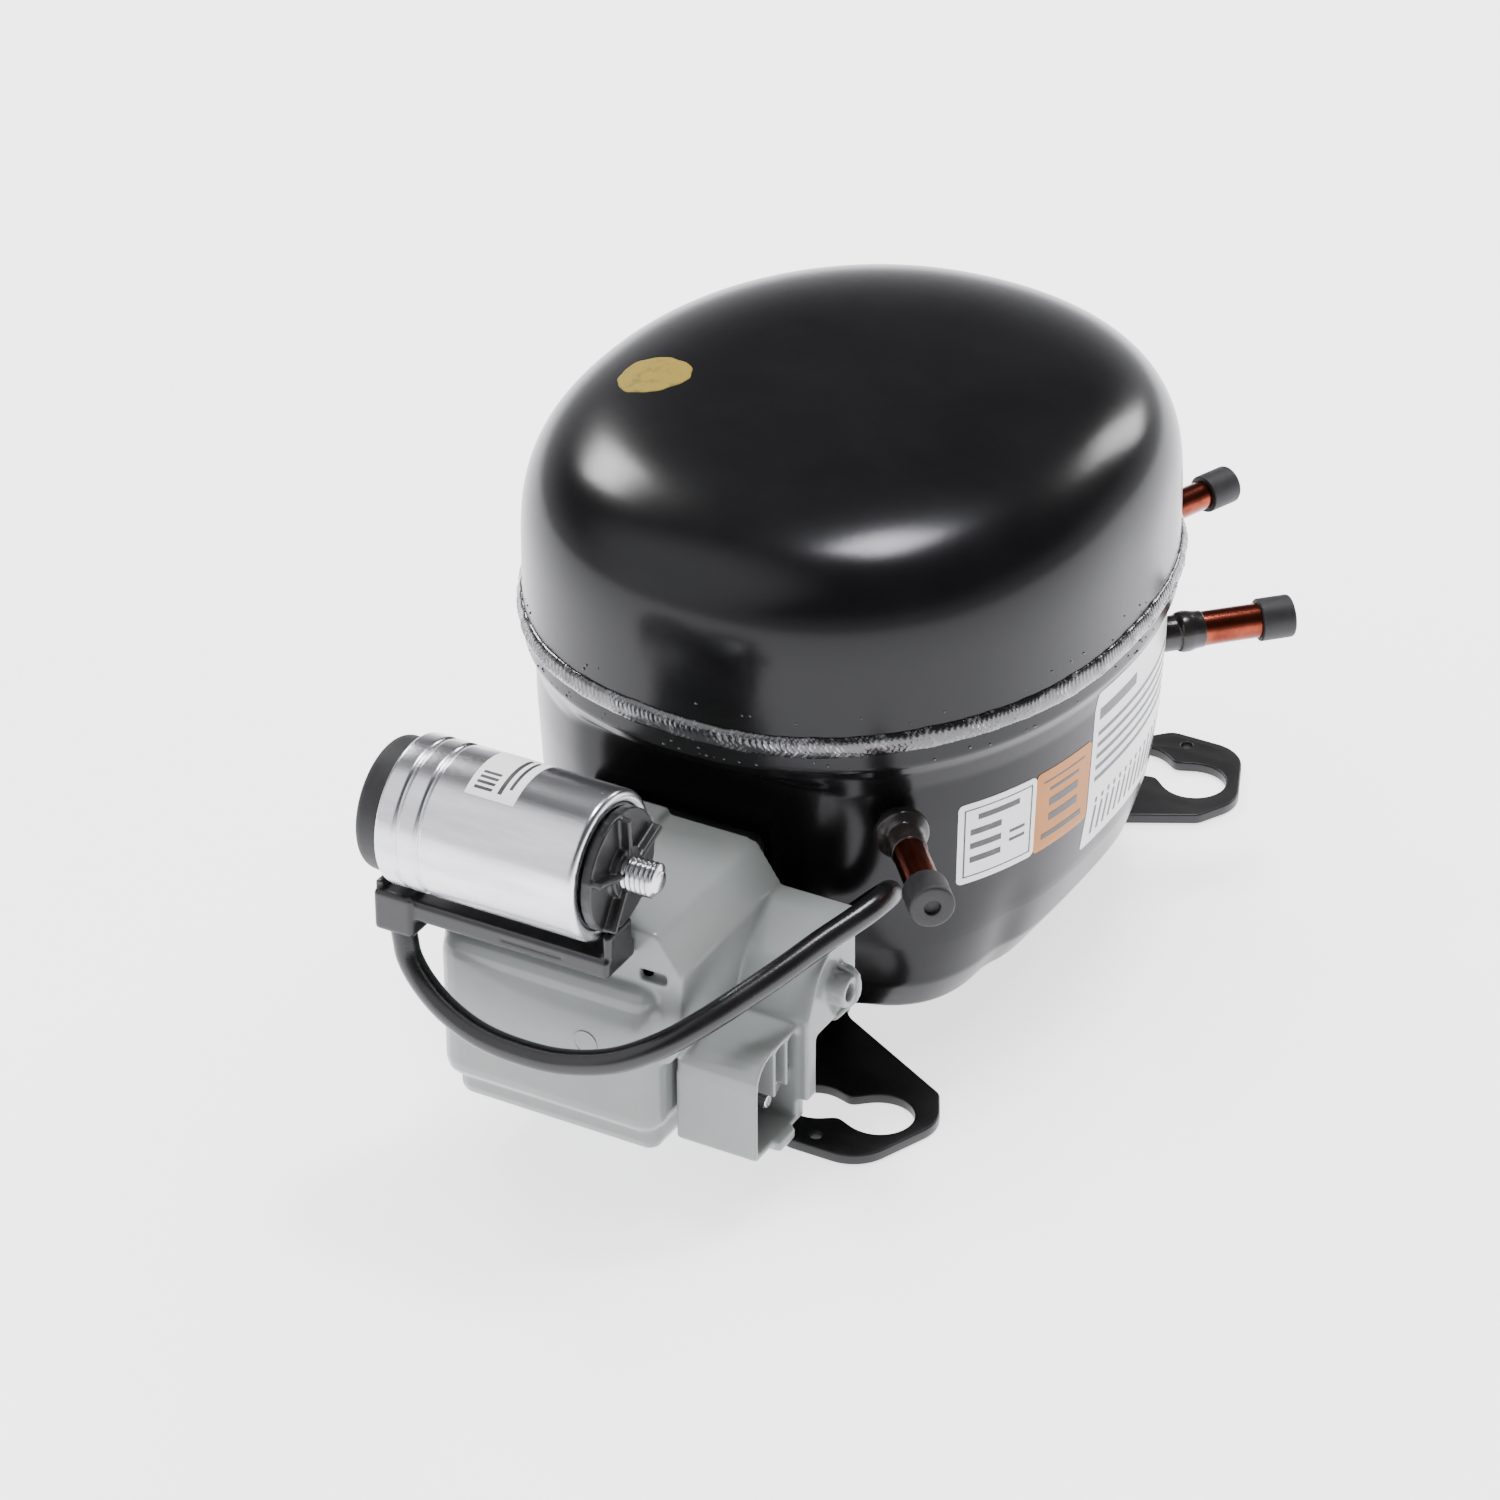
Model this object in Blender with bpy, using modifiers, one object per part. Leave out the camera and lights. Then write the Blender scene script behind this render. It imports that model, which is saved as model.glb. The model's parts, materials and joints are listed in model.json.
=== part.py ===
"""Hermetic reciprocating compressor with its electrical box, as separate pieces.

Metres, +Z up. The origin is the centre of the mounting-hole pattern, in the plane that
the base plates stand on. -Y is the side of the electrical box.
"""
import math

import bmesh
import bpy
from mathutils import Vector

# ---------------------------------------------------------------- driving sizes
GAP = 0.0003                     # left between pieces that touch

# welded shell
SHELL_HALF_X = 0.0724            # outer half width at the seam
SHELL_HALF_Y = 0.0840            # outer half length at the seam
SHELL_CENTRE_X = -0.0012         # the shell sits this far to the left of the hole pattern
SHELL_POWER = 2.2                # how square the oval is: 2 is an ellipse
SHELL_WALL = 0.0028
SHELL_BOTTOM_Z = 0.0030
SEAM_Z = 0.0927
SHELL_TOP_Z = 0.1420
DOME_WALL_HEIGHT = 0.0095        # straight wall above the seam, below the rounded dome
BEAD_STAND_OUT = 0.0018
BEAD_HEIGHT = 0.0060
FLAT_DEPTH = 0.0100              # the pressed flat behind the terminals, in from the oval

# base plates
PLATE_THICKNESS = 0.0027
OUTER_HOLES_X = 0.1016           # hole spacings of the two standard patterns
OUTER_HOLES_Y = 0.1651
INNER_HOLES_X = 0.0700
INNER_HOLES_Y = 0.1700
OUTER_HOLE_RADIUS = 0.0086
INNER_HOLE_RADIUS = 0.0072
HOLE_NECK_RADIUS = 0.0046          # the waist that joins both holes of an ear
PILOT_HOLE_RADIUS = 0.0015

# connecting tubes: bearing on the shell, heading, length from the shell, radii
TUBE_WALL = 0.0008
TUBE_INNER_END = 0.0050          # how far each tube runs on inside the shell
TUBES = {
    "process": dict(bearing=-55.1, heading=-49.4, height=0.0700, length=0.0355, radius=0.0040,
                    collar_radius=0.0066, cap_radius=0.0053, cap_length=0.0085),
    "suction": dict(bearing=39.6, heading=45.0, height=0.0650, length=0.0308, radius=0.0042,
                    collar_radius=0.0050, cap_radius=0.0052, cap_length=0.0090),
    "discharge": dict(bearing=68.6, heading=68.9, height=0.0710, length=0.0388, radius=0.0036,
                      collar_radius=0.0046, cap_radius=0.0047, cap_length=0.0090),
}

# terminals
TERMINAL_X = -0.0070
TERMINAL_Z = 0.0420
HEADER_RADIUS = 0.0150
HEADER_THICKNESS = 0.0050
PIN_RADIUS = 0.0015
PIN_CIRCLE_RADIUS = 0.0072

# electrical box
COVER_WALL = 0.0020
COVER_BACK_GAP = 0.0120          # from the shell's flat to the box's open back
COVER_LEFT_X = -0.0350
COVER_RIGHT_X = 0.0270
COVER_TOP_Z = 0.0700
COVER_BOTTOM_Z = 0.0100
UPPER_DEPTH = 0.0450
LOWER_DEPTH = 0.0490
LOWER_TOP_Z = 0.0560
WING_RIGHT_X = 0.0460
WING_TOP_Z = 0.0600
BAY_LEFT_X = 0.0230
BAY_RIGHT_X = 0.0434
BAY_TOP_Z = 0.0400
LEG_FOOT = 0.0060                  # foot of the wing's leg above the bay's floor
BAY_BOTTOM_Z = 0.0140
BAY_DEPTH = 0.0415
BAY_WALL = 0.0015
HOOD_BOTTOM_Z = 0.0352          # the wing is only a hood here, above the lead's way in
HOOD_DEPTH = 0.0180              # from the open back to where the wing reaches down to the bay
BOSS_AHEAD = 0.0115              # empty screw boss on the wing's side, from the open back
BOSS_Z = 0.0450
BOSS_RADIUS = 0.0038
BOSS_LENGTH = 0.0050
FENCE_WALL = 0.0012

# capacitor and its holder
CAN_RADIUS = 0.0175
CAN_LEFT_X = -0.0375
CAN_RIGHT_X = 0.0130
CAN_ABOVE = 0.0015               # from the top of the box to the lowest line of the can
CAN_STAND_OFF = 0.0060           # from the upper front of the box to the can's axis
BOOT_LENGTH = 0.0062
END_CAP_RADIUS = 0.0143
STUD_RADIUS = 0.0040
STUD_LENGTH = 0.0100
BRACKET_DEPTH = 0.0125
BRACKET_HEIGHT = 0.0050

# lead from the capacitor back into the box, a route chosen by hand: y counts from the open back
LEAD_RADIUS = 0.0030
LEAD_POINT_COUNT = 36
LEAD_ROUTE = [
    (-0.0385, -0.0555, 0.0572), (-0.0370, -0.0562, 0.0524), (-0.0326, -0.0575, 0.0476),
    (-0.0256, -0.0592, 0.0436), (-0.0164, -0.0605, 0.0408), (-0.0058, -0.0610, 0.0400),
    (0.0051, -0.0602, 0.0404), (0.0163, -0.0580, 0.0430), (0.0255, -0.0530, 0.0470),
    (0.0325, -0.0450, 0.0510), (0.0383, -0.0344, 0.0546), (0.0426, -0.0252, 0.0574),
    (0.0461, -0.0166, 0.0598), (0.0504, -0.0064, 0.0622), (0.0520, -0.0001, 0.0630),
    (0.0512, 0.0062, 0.0614), (0.0482, 0.0107, 0.0578), (0.0439, 0.0124, 0.0532),
    (0.0394, 0.0107, 0.0488), (0.0359, 0.0061, 0.0458), (0.0343, 0.0014, 0.0446),
    (0.0326, -0.0050, 0.0426),
]

# pump: crank, slotted yoke and piston
CRANK_Y = -0.0060                # the shaft's axis stands at x = 0
CRANK_THROW = 0.0085             # the piston's stroke is twice this
SHAFT_RADIUS = 0.0080
SHAFT_BOTTOM_Z = 0.0240
WEB_RADIUS = 0.0175
WEB_BOTTOM_Z = 0.0983
WEB_THICKNESS = 0.0037
PIN_TOP_Z = 0.1190
CRANK_PIN_RADIUS = 0.0080
PLUG_RADIUS = 0.0025
PLUG_DEPTH = 0.0035
BORE_Z = 0.1100
BORE_RADIUS = 0.0120
BARREL_WALL = 0.0050
PISTON_LENGTH = 0.0210
SLIDE_HALF = 0.0110              # the slide block is square round the crank pin
SLIDE_HEIGHT = 0.0148
YOKE_WALL = 0.0040
PLATE_GAP_AT_TOP = 0.0005        # piston to valve plate at the top of its stroke
BARREL_SPARE = 0.016            # how much longer the barrel is than the stroke
BLOCK_BOTTOM_Z = 0.0900
BLOCK_TOP_Z = 0.0980
VALVE_PLATE_THICKNESS = 0.0030
GASKET_THICKNESS = 0.0006
HEAD_THICKNESS = 0.0100
HEAD_HALF_X = 0.0180
HEAD_HALF_Z = 0.0150
REED_THICKNESS = 0.0004
REED_HALF_WIDTH = 0.0032
REED_LENGTH = 0.0130
REED_ROOT_X = -0.0075
REED_RELIEF = 0.0024             # pocket in the piston's crown for the open suction reed
PORT_OFF_Z = 0.0050              # each port from the bore's axis
BOLT_RADIUS = 0.0020

# motor and suspension
STATOR_HALF = 0.0460
STATOR_CORNER_CUT = 0.0140
STATOR_BORE_RADIUS = 0.0300
STATOR_BOTTOM_Z = 0.0360
STATOR_STACK = 0.0400
WINDING_HEIGHT = 0.0112
WINDING_OUTER_RADIUS = 0.0385
AIR_GAP = 0.0006
SPRING_X = 0.0330
SPRING_Y = 0.0340
SPRING_RADIUS = 0.0056
SPRING_WIRE_RADIUS = 0.0008
SPRING_TURNS = 3
SEAT_BOTTOM_Z = 0.0136
SEAT_FLANGE = 0.0018

SHELL_SEGMENTS = 40

# places worked out from the sizes
FLAT_Y = -(SHELL_HALF_Y - FLAT_DEPTH)
COVER_BACK_Y = FLAT_Y - COVER_BACK_GAP
UPPER_FRONT_Y = COVER_BACK_Y - UPPER_DEPTH
LOWER_FRONT_Y = COVER_BACK_Y - LOWER_DEPTH
CAN_Y = UPPER_FRONT_Y - CAN_STAND_OFF
CAN_Z = COVER_TOP_Z + CAN_ABOVE + CAN_RADIUS
CRANK_PIN_Y = CRANK_Y - CRANK_THROW                  # the piston rests at the bottom of its stroke
PLUG_Y = CRANK_Y - CRANK_THROW / 2
YOKE_FRONT = SLIDE_HALF + GAP + YOKE_WALL            # yoke centre to its flat front
BARREL_START_Y = CRANK_Y + CRANK_THROW + YOKE_FRONT + 0.0007   # open end, clear of the yoke
BARREL_END_Y = BARREL_START_Y + 2 * CRANK_THROW + BARREL_SPARE
STATOR_TOP_Z = STATOR_BOTTOM_Z + STATOR_STACK
ROTOR_RADIUS = STATOR_BORE_RADIUS - AIR_GAP


# ---------------------------------------------------------------- helpers
for old in list(bpy.data.objects):
    bpy.data.objects.remove(old, do_unlink=True)
PARTS = bpy.data.collections.new("hermetic_compressor")
CUTTERS = bpy.data.collections.new("cutters")
for new_collection in (PARTS, CUTTERS):
    bpy.context.scene.collection.children.link(new_collection)

FINISHES = {                     # colour, metallic, roughness
    "gloss_black_paint": ((0.012, 0.012, 0.013), 0.0, 0.18),
    "satin_black_paint": ((0.018, 0.018, 0.019), 0.0, 0.40),
    "copper": ((0.34, 0.11, 0.06), 1.0, 0.35),
    "black_rubber": ((0.020, 0.020, 0.021), 0.0, 0.75),
    "grey_plastic": ((0.36, 0.38, 0.36), 0.0, 0.35),
    "black_plastic": ((0.015, 0.015, 0.016), 0.0, 0.45),
    "aluminium": ((0.78, 0.78, 0.79), 1.0, 0.28),
    "black_cable": ((0.014, 0.014, 0.014), 0.0, 0.35),
    "zinc_steel": ((0.62, 0.62, 0.63), 1.0, 0.30),
    "cast_iron": ((0.16, 0.16, 0.165), 1.0, 0.60),
    "lamination": ((0.24, 0.24, 0.26), 1.0, 0.50),
    "enamelled_wire": ((0.42, 0.16, 0.05), 1.0, 0.38),
    "spring_steel": ((0.45, 0.45, 0.47), 1.0, 0.30),
    "gasket": ((0.10, 0.13, 0.12), 0.0, 0.80),
    "white_plastic": ((0.72, 0.71, 0.67), 0.0, 0.50),
}


def material(finish):
    """The Principled material of one finish, made once."""
    if finish in bpy.data.materials:
        return bpy.data.materials[finish]
    colour, metallic, roughness = FINISHES[finish]
    made = bpy.data.materials.new(finish)
    made.use_nodes = True
    shader = made.node_tree.nodes["Principled BSDF"]
    shader.inputs["Base Color"].default_value = (*colour, 1.0)
    shader.inputs["Metallic"].default_value = metallic
    shader.inputs["Roughness"].default_value = roughness
    return made


def register(name, mesh, finish=None):
    """Link a mesh as a part, or as a cutter when it has no finish."""
    piece = bpy.data.objects.new(name, mesh)
    if finish:
        PARTS.objects.link(piece)
        mesh.materials.append(material(finish))
        mesh.shade_smooth()
        mesh.set_sharp_from_angle(angle=math.radians(35))
    else:
        CUTTERS.objects.link(piece)
        piece.hide_render = True
        piece.display_type = "WIRE"
    return piece


def aim(piece, location, direction=(0, 0, 1)):
    """Place a piece that was made round +Z, with its +Z along a direction."""
    piece.location = location
    piece.rotation_mode = "QUATERNION"
    piece.rotation_quaternion = Vector((0, 0, 1)).rotation_difference(Vector(direction))
    return piece


def bevel(piece, width, segments=2, angle=35):
    """Round the edges that are sharper than an angle."""
    rounding = piece.modifiers.new("rounding", "BEVEL")
    rounding.width = width
    rounding.segments = segments
    rounding.limit_method = "ANGLE"
    rounding.angle_limit = math.radians(angle)
    return piece


def box(name, low, high, finish=None, rounding=0.0, segments=2):
    """A box between two corners, with rounded edges if asked."""
    shape = bmesh.new()
    bmesh.ops.create_cube(shape, size=1.0)
    low, high = Vector(low), Vector(high)
    size = high - low
    for vertex in shape.verts:
        vertex.co = Vector(c * s for c, s in zip(vertex.co, size))
    mesh = bpy.data.meshes.new(name)
    shape.to_mesh(mesh)
    shape.free()
    piece = register(name, mesh, finish)
    piece.location = (low + high) / 2
    return bevel(piece, rounding, segments) if rounding else piece


def rod(name, start, end, radius, finish=None, segments=24):
    """A cylinder from one point to another."""
    start, end = Vector(start), Vector(end)
    shape = bmesh.new()
    bmesh.ops.create_cone(shape, cap_ends=True, segments=segments, radius1=radius,
                          radius2=radius, depth=(end - start).length)
    mesh = bpy.data.meshes.new(name)
    shape.to_mesh(mesh)
    shape.free()
    return aim(register(name, mesh, finish), (start + end) / 2, end - start)


def turned(name, profile, location, direction=(0, 0, 1), finish=None, steps=24, closed=False):
    """Screw a profile of (radius, height) points, given down the outer side, round +Z."""
    shape = bmesh.new()
    points = [shape.verts.new((radius, 0, height)) for radius, height in profile]
    pairs = list(zip(points, points[1:]))
    if closed:
        pairs.append((points[-1], points[0]))
    for first, second in pairs:
        shape.edges.new((first, second))
    mesh = bpy.data.meshes.new(name)
    shape.to_mesh(mesh)
    shape.free()
    piece = register(name, mesh, finish)
    screw = piece.modifiers.new("turn", "SCREW")
    screw.axis = "Z"
    screw.steps = steps
    screw.render_steps = steps
    screw.use_merge_vertices = True
    screw.merge_threshold = 0.00001
    screw.use_smooth_shade = True
    return aim(piece, location, direction)


def fillet(corners, steps=4):
    """Points of a flat outline whose corners (x, y, radius) are rounded by arcs."""
    points = []
    for index, (x, y, radius) in enumerate(corners):
        corner = Vector((x, y))
        if radius == 0:
            points.append(corner)
            continue
        before = (Vector(corners[index - 1][:2]) - corner).normalized()
        after = (Vector(corners[(index + 1) % len(corners)][:2]) - corner).normalized()
        half = before.angle(after) / 2
        centre = corner + (before + after).normalized() * radius / math.sin(half)
        first = corner + before * radius / math.tan(half) - centre
        last = corner + after * radius / math.tan(half) - centre
        sweep = math.atan2(first.cross(last), first.dot(last))
        for step in range(steps + 1):
            angle = math.atan2(first.y, first.x) + sweep * step / steps
            points.append(centre + radius * Vector((math.cos(angle), math.sin(angle))))
    return points


def slab(name, corners, low, high, normal="Z", finish=None, rounding=0.0, segments=2, steps=4):
    """A flat rounded outline with a thickness, across Z (x, y), Y (x, z) or X (y, z)."""
    curve = bpy.data.curves.new(name, "CURVE")
    curve.dimensions = "2D"
    curve.fill_mode = "BOTH"
    curve.extrude = (high - low) / 2
    points = fillet(corners, steps)
    spline = curve.splines.new("POLY")
    spline.points.add(len(points) - 1)
    for target, point in zip(spline.points, points):
        target.co = (point.x, point.y, 0, 1)
    spline.use_cyclic_u = True
    piece = mesh_from_curve(name, curve, finish)
    middle = (low + high) / 2
    if normal == "Z":
        piece.location.z = middle
    elif normal == "Y":
        piece.rotation_euler.x = math.pi / 2
        piece.location.y = middle
    else:
        piece.rotation_euler = (math.pi / 2, 0, math.pi / 2)
        piece.location.x = middle
    return bevel(piece, rounding, segments) if rounding else piece


def mesh_from_curve(name, curve, finish):
    """Turn a curve into a welded mesh object, so that it can be cut or joined."""
    guide = bpy.data.objects.new(name + "_guide", curve)
    CUTTERS.objects.link(guide)
    evaluated = guide.evaluated_get(bpy.context.evaluated_depsgraph_get())
    mesh = bpy.data.meshes.new_from_object(evaluated)
    bpy.data.objects.remove(guide)
    shape = bmesh.new()
    shape.from_mesh(mesh)
    bmesh.ops.remove_doubles(shape, verts=shape.verts, dist=0.00001)
    bmesh.ops.recalc_face_normals(shape, faces=shape.faces)
    shape.to_mesh(mesh)
    shape.free()
    mesh.name = name
    return register(name, mesh, finish)


def smooth_path(route, count):
    """Evenly spread points on a smooth curve through a route (Catmull-Rom)."""
    route = [Vector(point) for point in route]
    padded = [2 * route[0] - route[1], *route, 2 * route[-1] - route[-2]]
    dense = []
    for a, b, c, d in zip(padded, padded[1:], padded[2:], padded[3:]):
        for step in range(20):
            t = step / 20
            dense.append(0.5 * (2 * b + (c - a) * t + (2 * a - 5 * b + 4 * c - d) * t ** 2
                                + (3 * b - a - 3 * c + d) * t ** 3))
    dense.append(route[-1])
    spans = [(q - p).length for p, q in zip(dense, dense[1:])]
    total = sum(spans)
    points, walked, index = [], 0.0, 0
    for number in range(count):
        target = total * number / (count - 1)
        while index < len(spans) - 1 and walked + spans[index] < target:
            walked += spans[index]
            index += 1
        share = min(1.0, (target - walked) / spans[index])
        points.append(dense[index].lerp(dense[index + 1], share))
    return points


def wire(name, points, radius, finish):
    """A round wire or hose along points, with filled ends."""
    curve = bpy.data.curves.new(name, "CURVE")
    curve.dimensions = "3D"
    curve.bevel_depth = radius
    curve.bevel_resolution = 2
    curve.use_fill_caps = True
    spline = curve.splines.new("POLY")
    spline.points.add(len(points) - 1)
    for target, point in zip(spline.points, points):
        target.co = (*point, 1)
    curve.materials.append(material(finish))
    piece = bpy.data.objects.new(name, curve)
    PARTS.objects.link(piece)
    return piece


def combine(piece, operation, *others):
    """Cut away or join other shapes, which stay as guides."""
    for other in others:
        step = piece.modifiers.new(operation.lower(), "BOOLEAN")
        step.operation = operation
        step.solver = "EXACT"
        step.object = other
    return piece


def cut(piece, *others):
    return combine(piece, "DIFFERENCE", *others)


def join(piece, *others):
    return combine(piece, "UNION", *others)


# ---------------------------------------------------------------- shell
def oval_reach(half_x, half_y, power, bearing):
    """Distance from the middle of a rounded oval to its edge, in one direction."""
    across = abs(math.cos(bearing) / half_x) ** power + abs(math.sin(bearing) / half_y) ** power
    return across ** (-1 / power)


def oval_ring(half_x, half_y, power, z, flat_y=None):
    """Points of one level of the shell, cut off at the pressed flat when it has one."""
    ring = []
    for index in range(SHELL_SEGMENTS):
        bearing = 2 * math.pi * index / SHELL_SEGMENTS
        reach = oval_reach(half_x, half_y, power, bearing)
        x, y = SHELL_CENTRE_X + reach * math.cos(bearing), reach * math.sin(bearing)
        ring.append((x, y if flat_y is None else max(y, flat_y), z))
    return ring


def loft(name, rings, finish, cap_last=False, closed_section=False):
    """Skin through rings of equal count, lowest first, with faces pointing out."""
    shape = bmesh.new()
    rows = [[shape.verts.new(point) for point in ring] for ring in rings]
    pairs = list(zip(rows, rows[1:]))
    if closed_section:
        pairs.append((rows[-1], rows[0]))
    count = len(rows[0])
    for lower, upper in pairs:
        for index in range(count):
            after = (index + 1) % count
            shape.faces.new((lower[index], lower[after], upper[after], upper[index]))
    if cap_last:
        shape.faces.new(rows[-1])
    bmesh.ops.recalc_face_normals(shape, faces=shape.faces)
    mesh = bpy.data.meshes.new(name)
    shape.to_mesh(mesh)
    shape.free()
    return register(name, mesh, finish)


def thicken(piece):
    """Give a shell half its wall, inwards from its outer face."""
    wall = piece.modifiers.new("wall", "SOLIDIFY")
    wall.thickness = SHELL_WALL
    wall.offset = -1
    wall.use_even_offset = True
    return piece


def upper_shell():
    """Straight wall above the seam, then a dome that is flattened on top."""
    spring_line = SEAM_Z + DOME_WALL_HEIGHT
    dome_height = SHELL_TOP_Z - spring_line
    rings = [oval_ring(SHELL_HALF_X, SHELL_HALF_Y, SHELL_POWER, SEAM_Z + GAP / 2),
             oval_ring(SHELL_HALF_X, SHELL_HALF_Y, SHELL_POWER, spring_line)]
    for degrees in (16, 32, 48, 63, 76, 85):
        angle = math.radians(degrees)
        reach = math.cos(angle) ** 0.5
        rise = math.sin(angle) ** 0.5
        power = SHELL_POWER - 0.2 * rise ** 4
        rings.append(oval_ring(SHELL_HALF_X * reach, SHELL_HALF_Y * reach, power,
                               spring_line + dome_height * rise))
    return thicken(loft("upper_shell", rings, "gloss_black_paint", cap_last=True))


def lower_shell():
    """Bowl with pressed corners and a flat for the terminals."""
    spread_x, spread_y = SHELL_HALF_X / 0.0724, SHELL_HALF_Y / 0.0840
    levels = [                   # height, half width, half length, squareness, with the flat
        (SHELL_BOTTOM_Z, 0.027, 0.035, 3.2, False),
        (0.0040, 0.035, 0.043, 3.2, False),
        (0.0070, 0.045, 0.054, 3.3, False),
        (0.0130, 0.0545, 0.0645, 3.2, False),
        (0.0220, 0.0610, 0.0710, 2.8, True),
        (0.0340, 0.0655, 0.0758, 2.45, True),
        (0.0500, 0.0682, 0.0785, 2.3, True),
        (0.0680, 0.0694, 0.0802, 2.25, True),
        (0.0780, 0.0700, 0.0808, 2.2, True),
        (0.0830, 0.0710, 0.0822, 2.2, False),
        (0.0860, SHELL_HALF_X / spread_x, SHELL_HALF_Y / spread_y, SHELL_POWER, False),
        (SEAM_Z - GAP / 2, SHELL_HALF_X / spread_x, SHELL_HALF_Y / spread_y, SHELL_POWER, False),
    ]
    rings = [oval_ring(x * spread_x, y * spread_y, power, z, FLAT_Y if flat else None)
             for z, x, y, power, flat in levels]
    bowl = loft("lower_shell", rings[::-1], "gloss_black_paint", cap_last=True)
    thicken(bowl)
    window = rod("terminal_window", (TERMINAL_X, FLAT_Y - 0.01, TERMINAL_Z),
                 (TERMINAL_X, FLAT_Y + 0.01, TERMINAL_Z), HEADER_RADIUS + GAP, segments=28)
    cut(bowl, window)
    for name, tube in TUBES.items():
        root, heading = tube_axis(tube)
        cut(bowl, rod(name + "_hole", root - heading * 0.012, root + heading * 0.012,
                      tube["radius"] + GAP, segments=16))
    return bowl


def weld_bead():
    """Half-round ring over the seam."""
    section = [(GAP, -0.5), (0.0011, -0.42), (BEAD_STAND_OUT, -0.12), (BEAD_STAND_OUT, 0.12),
               (0.0011, 0.42), (GAP, 0.5)]
    rings = [oval_ring(SHELL_HALF_X + out, SHELL_HALF_Y + out, SHELL_POWER, SEAM_Z + up * BEAD_HEIGHT)
             for out, up in section]
    return loft("weld_bead", rings, "gloss_black_paint", closed_section=True)


# ---------------------------------------------------------------- base plates
def base_plate(name, side):
    """One pressed plate with an ear at each end; side is -1 in front and +1 behind."""
    hole_x, hole_y = OUTER_HOLES_X / 2, OUTER_HOLES_Y / 2
    inner_x, inner_y = INNER_HOLES_X / 2, INNER_HOLES_Y / 2
    half = [                     # from the middle of the outer edge round the ear
        (hole_x - 0.0268, hole_y + 0.0060, 0.006), (hole_x - 0.0150, hole_y + 0.0187, 0.005),
        (hole_x + 0.0045, hole_y + 0.0187, 0.007), (hole_x + 0.0136, hole_y - 0.0035, 0.007),
        (hole_x + 0.0080, hole_y - 0.0140, 0.003), (0.0240, 0.0500, 0.008),
        (0.0190, 0.0330, 0.006),
    ]
    outline = [(x, side * y, radius) for x, y, radius in half]
    outline += [(-x, side * y, radius) for x, y, radius in reversed(half)]
    plate = slab(name, outline, 0.0, PLATE_THICKNESS, finish="satin_black_paint", steps=2)
    for ear in (-1, 1):
        centre = Vector((ear * hole_x, side * hole_y, 0))
        inner = Vector((ear * inner_x, side * inner_y, 0))
        pilot = Vector((ear * (hole_x - 0.009), side * (hole_y + 0.0143), 0))
        depth = Vector((0, 0, 2 * PLATE_THICKNESS))
        cut(plate,
            rod(name + "_hole", centre - depth, centre + depth, OUTER_HOLE_RADIUS, segments=24),
            rod(name + "_lobe", inner - depth, inner + depth, INNER_HOLE_RADIUS, segments=20),
            rod(name + "_neck", (centre + inner) / 2 - depth, (centre + inner) / 2 + depth, HOLE_NECK_RADIUS,
                segments=16),
            rod(name + "_pilot", pilot - depth, pilot + depth, PILOT_HOLE_RADIUS, segments=10))
    return plate


# ---------------------------------------------------------------- tubes and caps
def tube_axis(tube):
    """Where a tube's axis meets the shell, and which way it heads."""
    bearing, heading = math.radians(tube["bearing"]), math.radians(tube["heading"])
    scale_x, scale_y = SHELL_HALF_X * 0.941, SHELL_HALF_Y * 0.953
    reach = oval_reach(scale_x, scale_y, 2.25, bearing)
    root = Vector((reach * math.cos(bearing), reach * math.sin(bearing), tube["height"]))
    return root, Vector((math.cos(heading), math.sin(heading), 0))


def connecting_tube(name, tube):
    """Open tube with a brazing collar where it leaves the shell."""
    root, heading = tube_axis(tube)
    outer, inner = tube["radius"], tube["radius"] - TUBE_WALL
    collar = tube["collar_radius"]
    collar_start, collar_end = 0.0032, 0.0062
    profile = [(outer - 0.0003, tube["length"]), (outer, tube["length"] - 0.0004),
               (outer, collar_end + 0.002), (collar, collar_end), (collar, collar_start),
               (outer, collar_start), (outer, -TUBE_INNER_END), (inner, -TUBE_INNER_END),
               (inner, tube["length"])]
    return turned(name + "_tube", profile, root, heading, "copper", steps=16, closed=True)


def tube_cap(name, tube):
    """Rubber cap pushed over the tube's open end, with a small hole in its face."""
    root, heading = tube_axis(tube)
    outer, bore = tube["cap_radius"], tube["radius"] + GAP
    length, dent = tube["cap_length"], 0.0018
    tip = 0.0016                 # rubber beyond the tube's end
    profile = [(0, tip - 0.0010), (dent, tip - 0.0010), (dent, tip), (outer - 0.0006, tip),
               (outer, tip - 0.0006), (outer, tip - length), (bore, tip - length),
               (bore, GAP), (0, GAP)]
    return turned(name + "_cap", profile, root + heading * tube["length"], heading,
                  "black_rubber", steps=16)


# ---------------------------------------------------------------- terminals
def terminal_pins():
    """Centres (x, z) and names of the three terminal pins."""
    places = []
    for name, degrees in (("common", 90), ("start", 210), ("run", 330)):
        angle = math.radians(degrees)
        places.append((name, TERMINAL_X + PIN_CIRCLE_RADIUS * math.cos(angle),
                       TERMINAL_Z + PIN_CIRCLE_RADIUS * math.sin(angle)))
    return places


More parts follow.
